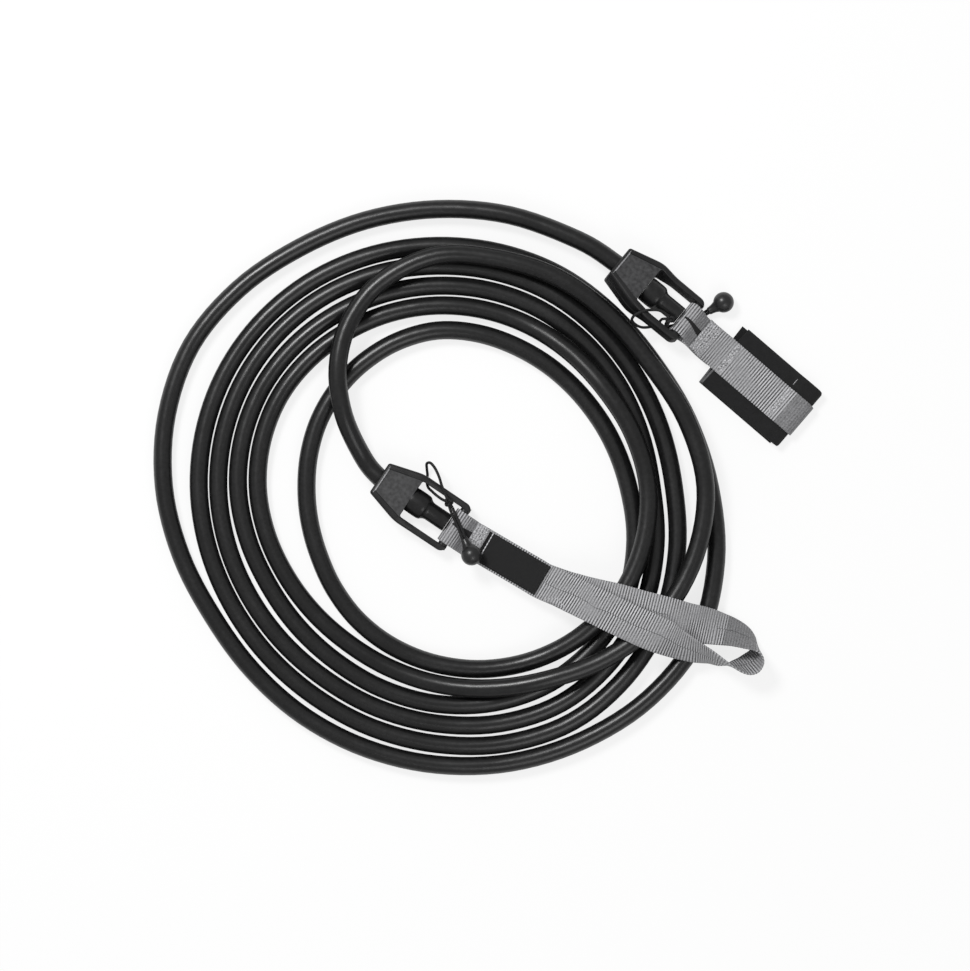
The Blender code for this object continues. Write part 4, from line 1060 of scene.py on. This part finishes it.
def stitched(name, end, seams, thread, length=STITCH_LENGTH, pitch=STITCH_PITCH,
             diameter=THREAD_DIAMETER):
    """Stitches on an end's strap along seams, each a list of points."""
    points, edges = [], []
    for seam_points in seams:
        edges += [(len(points) + index, len(points) + index + 1)
                  for index in range(len(seam_points) - 1)]
        points += seam_points
    mesh = bpy.data.meshes.new("seams")
    mesh.from_pydata(points, edges, [])
    mesh = through_nodes(mesh, stitch_nodes, {
        "Pitch": pitch, "Length": length, "Thread": diameter, "Material": thread.material})
    piece(name, mesh, None, end + "_strap", axes=BAR_AXES[end])


def across_row(row, reach):
    """A seam across a row of webbing, as far from its middle as the reach."""
    centre, edge, half_width = row
    return [centre + edge * reach * share for share in (-1, -0.5, 0, 0.5, 1)]


grey_thread = thread_finish("grey_thread", 0.16, 0.55)
thread_plies = 1 + WEB_THICKNESS / 2 / PLY_STEP
tack_reach = half_web - TACK_MARGIN
tack_seams = []
for step in range(TACK_ROWS):
    along = WEB_START + TACK_LENGTH * (step + 0.5) / TACK_ROWS
    shift = STITCH_PITCH / 2 * (step % 2)
    tack_seams.append(across_row(anchor_row(along, thread_plies, half_web), tack_reach - shift))
stitched("anchor_tack", "anchor", tack_seams, grey_thread)


# The label. It is a bare patch of black satin tape, turned under and sewn on the strap with
# a row of pale stitches near its end by the bar and of black ones round the other sides.
LABEL_WIDTH = 22.0 * MM
LABEL_THICKNESS = 0.8 * MM
LABEL_HEM = 2.6 * MM
LABEL_SEAM = 1.1 * MM
HEM_STITCH_LENGTH = 2.6 * MM
HEM_STITCH_PITCH = 2.3 * MM
HEM_THREAD_DIAMETER = 0.85 * MM
WARP_PITCH = 0.45 * MM

satin = Finish("black_satin_tape", {"Specular IOR Level": 0.15})
across, along = satin.mapped("weave")
warp = (along * (2 * math.pi / WARP_PITCH)).sine()
patchy = satin.noise(scale=160.0, detail=4.0)
beyond_hem = along > LABEL_HEM
satin.set({"Base Color": satin.between(beyond_hem * (0.5 + patchy * 0.6) + 0.1 * warp,
                                       grey(0.003), grey(0.013)),
           "Roughness": 0.48 + 0.2 * patchy})
satin.relief(warp * 0.3 + patchy, depth=0.10 * MM)

label_plies = 1 + (WEB_THICKNESS / 2 + GAP + LABEL_THICKNESS / 2) / PLY_STEP
label_rows = straight_rows(LABEL_START, LABEL_END, label_plies, LABEL_WIDTH / 2)
label = piece("label_patch", strip(even_rows(label_rows, 2 * ROW_STEP), LABEL_THICKNESS), satin,
              "anchor_strap", "anchor_label", BAR_AXES["anchor"])

label_thread_plies = label_plies + LABEL_THICKNESS / 2 / PLY_STEP
seam_reach = LABEL_WIDTH / 2 - LABEL_SEAM
pale_thread = thread_finish("pale_thread", 0.42, 0.78)
hem_row = anchor_row(LABEL_START + LABEL_HEM, label_thread_plies, half_web)
stitched("label_hem_stitches", "anchor", [across_row(hem_row, seam_reach)], pale_thread,
         HEM_STITCH_LENGTH, HEM_STITCH_PITCH, HEM_THREAD_DIAMETER)
black_thread = thread_finish("black_thread", 0.004, 0.022)
seam_rows = straight_rows(LABEL_START + LABEL_HEM, LABEL_END - LABEL_SEAM, label_thread_plies,
                          half_web)
label_seams = [[centre + edge * side for centre, edge, half_width in seam_rows]
               for side in (seam_reach, -seam_reach)]
label_seams.append(across_row(seam_rows[-1], seam_reach))
stitched("label_side_stitches", "anchor", label_seams, black_thread)


# The ankle cuff. A dense black band is folded on itself and closed by a touch fastening, and
# the webbing is sewn along the middle of its upper half and round its fold.
BAND_WIDTH = 48.0 * MM
BAND_CORNER_RADIUS = 5.0 * MM
BAND_STEP = 1.0 * MM
BAND_COLUMNS = 24
CUT_EDGE_WIDTH = 1.2 * MM
LOWER_BAND_SHIFT = 0.6 * MM
UPPER_CLOTH_START = 35.2 * MM
LOWER_CLOTH_START = 32.6 * MM
UPPER_BAND_SKEW = -1.6
LOWER_BAND_SKEW = 2.6
LOWER_BAND_STEPS = 8
FOLD_CENTRE = 97.8 * MM
FOLD_BULGE = 1.9 * MM
FOLD_STEPS = 10
BULGE_START = 80.0 * MM
BULGE_END = (BULGE_START + 2 * FOLD_CENTRE) / 3
FLAT_STEPS = 4
SWELL_STEPS = 6
LEAD_IN_STEPS = 10
BAND_FOLD_TURN = 180
WEB_FOLD_TURN = 130
FOLD_RADIUS = (UPPER_BAND_LEVEL + FOLD_BULGE - LOWER_BAND_LEVEL) / 2
ANKLE_STRAP_LENGTH = 101.0 * MM
CUFF_TACKS = ((12.6 * MM, 22.6 * MM), (38.0 * MM, 41.0 * MM), (83.0 * MM, 86.0 * MM))
CUFF_TACK_STEP = 1.5 * MM
CUFF_PLAIN_START = 91.0 * MM
LOOSE_THREAD_PLACE = (83.0 * MM, 16.6 * MM)
LOOSE_THREAD_LENGTH = 3.6 * MM


def fold_rise(along):
    """How far the upper half has swollen up on its way to the fold."""
    return FOLD_BULGE * smooth_step(along, BULGE_START, BULGE_END)


def fold_rows(start, level, turn_end, half_width, offset, skew=0.0):
    """Rows along the upper band and round its fold, a set distance outside its centre."""
    rows = []
    stops = [start + (BULGE_START - start) * step / FLAT_STEPS for step in range(FLAT_STEPS)]
    stops += [BULGE_START + (FOLD_CENTRE - BULGE_START) * step / SWELL_STEPS
              for step in range(SWELL_STEPS)]
    for along in stops:
        lean = (0.0, skew * (FOLD_CENTRE - along) / (FOLD_CENTRE - start))
        rows.append(strap_row(along, level + fold_rise(along), lean, half_width=half_width))
    middle = LOWER_BAND_LEVEL - ANKLE_HEIGHT + FOLD_RADIUS
    radius = FOLD_RADIUS + offset
    corner = BAND_CORNER_RADIUS * half_width / BAND_WIDTH
    for step in range(FOLD_STEPS + 1):
        angle = math.radians(turn_end) * step / FOLD_STEPS
        rows.append(strap_row(FOLD_CENTRE + radius * math.sin(angle),
                              middle + radius * math.cos(angle),
                              half_width=half_width - corner * (1 - math.cos(angle / 2))))
    return rows


web_height = CUFF_WEB_LEVEL - ANKLE_HEIGHT
rows = [strap_row(along, middle_ply("ankle", along) + PLY_STEP, strap_lean("ankle", along))
        for along in (WEB_START + (UPPER_BAND_START - WEB_START) * step / LEAD_IN_STEPS
                      for step in range(LEAD_IN_STEPS))]
rows += fold_rows(UPPER_BAND_START, web_height, WEB_FOLD_TURN, half_web,
                  BAND_THICKNESS / 2 + GAP + WEB_THICKNESS / 2)
webbing("ankle_strap_webbing", "ankle", rows, ANKLE_STRAP_LENGTH, "stretched",
        ["ankle_bar_webbing", "cuff_upper_cloth"], "ankle_webbing",
        plain=((CUFF_PLAIN_START - WEB_START, ANKLE_STRAP_LENGTH),),
        sewn=[(start - WEB_START, end - WEB_START) for start, end in CUFF_TACKS])

tack_seams = []
for start, end in CUFF_TACKS:
    count = round((end - start) / CUFF_TACK_STEP)
    for step in range(count):
        along = start + (end - start) * (step + 0.5) / count
        if along > UPPER_BAND_START:
            height = web_height + fold_rise(along)
        else:
            height = middle_ply("ankle", along) + PLY_STEP
        row = strap_row(along, height + WEB_THICKNESS / 2, strap_lean("ankle", along))
        tack_seams.append(across_row(row, tack_reach - STITCH_PITCH / 2 * (step % 2)))
stitched("cuff_tacks", "ankle", tack_seams, grey_thread)

brushed = Finish("brushed_black_band", {"Specular IOR Level": 0.15, "Sheen Weight": 0.06,
                                        "Sheen Roughness": 0.6})
nap = brushed.noise(scale=1300.0, detail=5.0)
lint = brushed.noise(scale=240.0, detail=3.0)
across, along = brushed.mapped("weave")
cut_edge = (1 - (along > CUT_EDGE_WIDTH)) * (1 - (across > WEB_WIDTH))
fleece = brushed.between(nap * 0.5 + lint * 0.3, grey(0.004), grey(0.026))
brushed.set({"Base Color": brushed.between(cut_edge * (0.4 + nap), fleece, grey(0.13)),
             "Roughness": 0.80 + 0.12 * nap})
brushed.relief(nap + 0.4 * lint, depth=0.35 * MM)


def cuff_half(name, rows, body, stands_for):
    """One half of the cuff's band as a piece."""
    mesh = strip(even_rows(rows, BAND_STEP), BAND_THICKNESS, BAND_COLUMNS)
    return piece(name, mesh, brushed, body, stands_for, BAR_AXES["ankle"])


band_height = UPPER_BAND_LEVEL - ANKLE_HEIGHT
rows = fold_rows(UPPER_CLOTH_START, band_height, BAND_FOLD_TURN, BAND_WIDTH / 2, 0,
                 UPPER_BAND_SKEW)
upper_half = cuff_half("cuff_upper_cloth", rows, "ankle_strap", "cuff_upper_band")

lower_length = FOLD_CENTRE - GAP - LOWER_CLOTH_START
rows = []
for step in range(LOWER_BAND_STEPS + 1):
    share = step / LOWER_BAND_STEPS
    rows.append(strap_row(LOWER_CLOTH_START + lower_length * share,
                          LOWER_BAND_LEVEL - ANKLE_HEIGHT, (0.0, LOWER_BAND_SKEW * (1 - share)),
                          -LOWER_BAND_SHIFT, BAND_WIDTH / 2))
lower_half = cuff_half("cuff_lower_cloth", rows, "cuff_flap", "cuff_lower_band")

thread_along, thread_across = LOOSE_THREAD_PLACE
centre, edge, half_width = strap_row(
    thread_along, band_height + fold_rise(thread_along) + BAND_THICKNESS / 2)
loose_end = [centre + edge * (thread_across + LOOSE_THREAD_LENGTH * share) for share in (0, 0.5)]
stitched("cuff_loose_thread", "ankle", [loose_end], grey_thread, LOOSE_THREAD_LENGTH,
         LOOSE_THREAD_LENGTH)


# The cords. A thin braided tie is looped round one arm of each fitting and knotted, and it
# runs on, doubled, into the neck of a moulded ball that is pulled to free the strap.
TIE_DIAMETER = 1.9 * MM
TIE_SPACING = 1.95 * MM
KNOT_CORD_DIAMETER = 1.8 * MM
KNOT_RADIUS = 2.5 * MM
KNOT_HEIGHT = 2.3 * MM
BALL_DIAMETER = 14.0 * MM
NECK_LENGTH = 5.0 * MM
NECK_DIAMETER = 5.0 * MM
NECK_BORE = 4.1 * MM
NECK_BORE_DEPTH = 4.2 * MM
NECK_TURN = math.radians(35)
CORD_SIDES = 12
TIE_STEPS = 8
PULL_STEPS = 5
TIP_STEPS = 6
KNOT_STEPS = 90
NECK_STEPS = 3
BALL_STEPS = 24
BALL_SIDES = 48
BRAID_PITCH = 1.6 * MM
BRAID_STRANDS = 3

# Along the ball's neck from its middle and out from its axis, as shares of the ball's radius
NECK_FLANK_SHARES = ((-1.62, 0.37), (-1.42, 0.39), (-1.20, 0.435), (-1.0, 0.50),
                     (-0.819, 0.574))

# Places along from the block's end, across and up, as shares of the length beyond the block,
# the half width and the half frame thickness
TIE_SHARES = {
    "anchor": (
        (0.470, 0.612, 1.39), (0.338, 0.617, 1.16), (0.220, 0.649, 0.32),
        (0.156, 0.670, -0.53), (0.098, 0.745, -1.18), (0.046, 0.880, -1.37),
        (0.002, 1.050, -1.31), (-0.062, 1.210, -0.88), (-0.112, 1.365, -0.25),
        (-0.066, 1.460, 0.42), (0.058, 1.392, 0.97), (0.203, 1.213, 1.31),
        (0.325, 1.010, 1.37), (0.413, 0.890, 1.39), (0.488, 0.785, 1.40),
    ),
    "ankle": (
        (0.560, -0.455, 1.48), (0.428, -0.521, 1.52), (0.312, -0.702, 1.43),
        (0.225, -0.894, 1.35), (0.177, -1.080, 1.22), (0.149, -1.218, 0.67),
        (0.169, -1.293, -0.17), (0.262, -1.266, -0.84), (0.382, -1.150, -1.26),
        (0.485, -0.936, -1.37), (0.548, -0.739, -1.33), (0.562, -0.644, -0.80),
        (0.562, -0.628, 0.00), (0.574, -0.604, 0.82),
    ),
}
KNOT_SHARES = {"anchor": (0.584, 0.654, 1.526), "ankle": (0.668, -0.500, 1.42)}
PULL_SHARES = {
    "anchor": (
        (0.681, 0.532, 1.49), (0.766, 0.410, 1.52), (0.870, 0.277, 1.56), (0.973, 0.149, 1.66),
        (1.065, 0.021, 1.85), (1.116, -0.056, 2.08), (1.194, -0.154, 2.18),
    ),
    "ankle": (
        (0.676, -0.543, 0.86), (0.682, -0.543, 0.00), (0.694, -0.532, -0.95),
        (0.741, -0.457, -1.73), (0.844, -0.160, -1.83), (0.962, 0.240, -1.79),
        (1.047, 0.574, -1.60), (1.091, 0.824, -1.01), (1.125, 0.995, -0.61),
    ),
}
BALL_SHARES = {"anchor": (1.434, -0.457, 2.51), "ankle": (1.216, 1.463, 0.48)}


def fitting_point(axes, shares):
    """A place on a fitting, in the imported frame, from its shares."""
    along, across, height = shares
    return axes @ Vector((BLOCK_LENGTH + along * (FITTING_LENGTH - BLOCK_LENGTH),
                          across * FITTING_WIDTH / 2, height * FRAME_THICKNESS / 2))


def smooth_route(points, steps):
    """A smooth route through points."""
    return [Vector(point) for point in smooth_rows(points, steps)]


def thin_cord(name, end, body, route, stands_for):
    """A piece of thin cord along a route."""
    return piece(end + name, swept(route, TIE_DIAMETER / 2, CORD_SIDES), braid,
                 end + body, end + stands_for)


def declare_cord(route):
    """Work out the length of a cord's route, which is not used."""
    length = sum((after - before).length for before, after in zip(route, route[1:]))


def knot_mesh(middle, axes, starts):
    """A cord wound as a trefoil round a middle, with a strand towards each start."""
    wound = []
    for step in range(KNOT_STEPS):
        angle = 2 * math.pi * step / KNOT_STEPS
        wound.append(middle + axes @ Vector((
            (math.sin(angle) + 2 * math.sin(2 * angle)) * KNOT_RADIUS / 3,
            (math.cos(angle) - 2 * math.cos(2 * angle)) * KNOT_RADIUS / 3,
            -math.sin(3 * angle) * KNOT_HEIGHT / 2)))
    parts = [swept(wound, KNOT_CORD_DIAMETER / 2, CORD_SIDES, closed=True)]
    for start in starts:
        tip = start + (middle - start).normalized() * END_GAP
        parts.append(swept([middle, (middle + tip) / 2, tip], TIE_DIAMETER / 2, CORD_SIDES))
    work = bmesh.new()
    for part in parts:
        work.from_mesh(part)
        bpy.data.meshes.remove(part)
    return finished_mesh(work)


def doubled(route, up):
    """A route laid out to its end and back again beside itself, with a round turn there."""
    side = (route[-1] - route[-2]).cross(up).normalized()
    there, back = [], []
    for index in reversed(range(len(route))):
        ahead = (route[min(index + 1, len(route) - 1)] - route[max(index - 1, 0)]).normalized()
        side = (side - ahead * side.dot(ahead)).normalized()
        there.insert(0, route[index] + side * TIE_SPACING / 2)
        back.append(route[index] - side * TIE_SPACING / 2)
    tip_way = (route[-1] - route[-2]).normalized()
    side_way = there[-1] - route[-1]
    tip = [route[-1] + side_way * math.cos(swing) + tip_way * side_way.length * math.sin(swing)
           for swing in (math.pi * step / TIP_STEPS for step in range(1, TIP_STEPS))]
    return there + tip + back


braid = Finish("braided_cord", {"Specular IOR Level": 0.3})
around, along = braid.mapped("run")
lay = around * (2 * math.pi * BRAID_STRANDS)
advance = along * (2 * math.pi / BRAID_PITCH)
plait = (lay + advance).sine().maths("MAXIMUM", (lay - advance).sine())
hairs = braid.noise(scale=2400.0)
braid.set({"Base Color": braid.between(plait * 0.4 + hairs * 0.4, grey(0.004), grey(0.026)),
           "Roughness": 0.60 + 0.2 * hairs})
braid.relief(plait * 0.6 + hairs * 0.4, depth=0.12 * MM)

gloss = Finish("moulded_ball", {"Specular IOR Level": 0.5})
smudges = gloss.noise(scale=150.0, detail=4.0)
gloss.set({"Base Color": gloss.between(smudges, grey(0.007), grey(0.020)),
           "Roughness": 0.24 + 0.22 * smudges})
gloss.relief(gloss.noise(scale=700.0, detail=3.0), depth=0.05 * MM)

ball_radius = BALL_DIAMETER / 2
neck = NECK_DIAMETER / 2
neck_end = ball_radius + NECK_LENGTH
neck_edge = NECK_LENGTH / 12
ball_profile = [(-neck_end + NECK_BORE_DEPTH, 0), (-neck_end + NECK_BORE_DEPTH, NECK_BORE / 2),
                (-neck_end, NECK_BORE / 2), (-neck_end, neck - neck_edge),
                (-neck_end + neck_edge, neck)]
ball_profile += smooth_rows([(ball_radius * along, ball_radius * radius)
                             for along, radius in NECK_FLANK_SHARES], NECK_STEPS)
for step in range(1, BALL_STEPS):
    angle = NECK_TURN + (math.pi - NECK_TURN) * step / BALL_STEPS
    ball_profile.append((-ball_radius * math.cos(angle), ball_radius * math.sin(angle)))
ball_profile.append((ball_radius, 0))

for end, axes in FITTING_AXES.items():
    knot_middle = fitting_point(axes, KNOT_SHARES[end])
    tie_points = [fitting_point(axes, shares) for shares in TIE_SHARES[end]]
    tie_route = smooth_route([knot_middle, *tie_points, knot_middle], TIE_STEPS)
    tie = thin_cord("_tie", end, "_shackle", tie_route, "_tie_loop")

    way_axes = axes.to_3x3()
    pull_middle = smooth_route([fitting_point(axes, shares) for shares in PULL_SHARES[end]],
                               PULL_STEPS)
    pull_route = doubled(pull_middle, way_axes @ Vector((0, 0, 1)))
    knot = piece(end + "_knot",
                 knot_mesh(knot_middle, way_axes, (pull_route[0], pull_route[-1])), braid,
                 end + "_shackle", end + "_tie_knot")
    declare_cord(tie_route)
    pull = thin_cord("_pull_cord", end, "_ball", pull_route, "_ball_cord")

    ball_middle = fitting_point(axes, BALL_SHARES[end])
    ball_turn = (ball_middle - pull_middle[-1]).to_track_quat("X", "Z").to_matrix().to_4x4()
    ball = piece(end + "_pull_ball", turned(ball_profile, BALL_SIDES), gloss, end + "_ball",
                 end + "_ball", Matrix.Translation(ball_middle) @ ball_turn)
    crisped(ball)
    declare_cord(pull_route)


# The touch fastening inside the cuff: a pad of loops under the upper half and one of hooks
# on the lower half, both thin black pile.
TUFT_SCALE = 900.0

pile = Finish("touch_fastening_pile", {"Specular IOR Level": 0.25})
tufts = pile.node("ShaderNodeTexVoronoi", None, {"Vector": pile.place, "Scale": TUFT_SCALE})
pile.set({"Base Color": pile.between(tufts, grey(0.034), grey(0.010)),
          "Roughness": 0.75 + 0.2 * tufts})
pile.relief(1 - tufts, depth=0.3 * MM)
dress_node("cuff_loop_patch", pile)
dress_node("cuff_hook_patch", pile)


# The floor, the room and the lamps. The tether lies on a white sweep under one broad soft
# lamp at the upper left and a weaker one opposite.
FLOOR_SIZE = 6.0
FLOOR_GLOW = 0.80
ROOM_LIGHT = 0.42
WHITE = (1, 1, 1, 1)

# Each lamp's name, place, width and power in watts
LAMPS = (("key_lamp", (-0.8, 0.9, 1.6), 0.5, 26.0), ("fill_lamp", (0.5, -1.2, 1.7), 1.0, 9.0))

work = bmesh.new()
bmesh.ops.create_grid(work, x_segments=1, y_segments=1, size=FLOOR_SIZE / 2)
floor_mesh = bpy.data.meshes.new("floor")
work.to_mesh(floor_mesh)
work.free()
floor = placed("floor", floor_mesh)
paper = Finish("white_sweep", {"Base Color": (0.92, 0.92, 0.92, 1), "Roughness": 0.9,
                               "Specular IOR Level": 0.0})
seen = paper.node("ShaderNodeLightPath", output="Is Camera Ray")
glow = paper.node("ShaderNodeEmission", None, {"Color": WHITE})
matt = Socket(paper, paper.shader.outputs["BSDF"])
surface = paper.node("ShaderNodeMixShader", None, {0: seen * FLOOR_GLOW, 1: matt, 2: glow})
paper.join(surface, paper.tree.nodes["Material Output"].inputs["Surface"])
floor_mesh.materials.append(paper.material)

world = bpy.data.worlds.new("room")
world.use_nodes = True
scene.world = world
room = Tree(world.node_tree)
seen = room.node("ShaderNodeLightPath", output="Is Camera Ray")
backdrop = world.node_tree.nodes["Background"]
room.join(WHITE, backdrop.inputs["Color"])
room.join(ROOM_LIGHT + (1 - ROOM_LIGHT) * seen, backdrop.inputs["Strength"])

for name, place, width, power in LAMPS:
    lamp_data = bpy.data.lights.new(name, "AREA")
    lamp_data.size = width
    lamp_data.energy = power
    lamp = bpy.data.objects.new(name, lamp_data)
    lamp.location = place
    lamp.rotation_euler = (VIEW_MIDDLE - lamp.location).to_track_quat("-Z", "Y").to_euler()
    scene.collection.objects.link(lamp)
scene.view_settings.view_transform = "Standard"
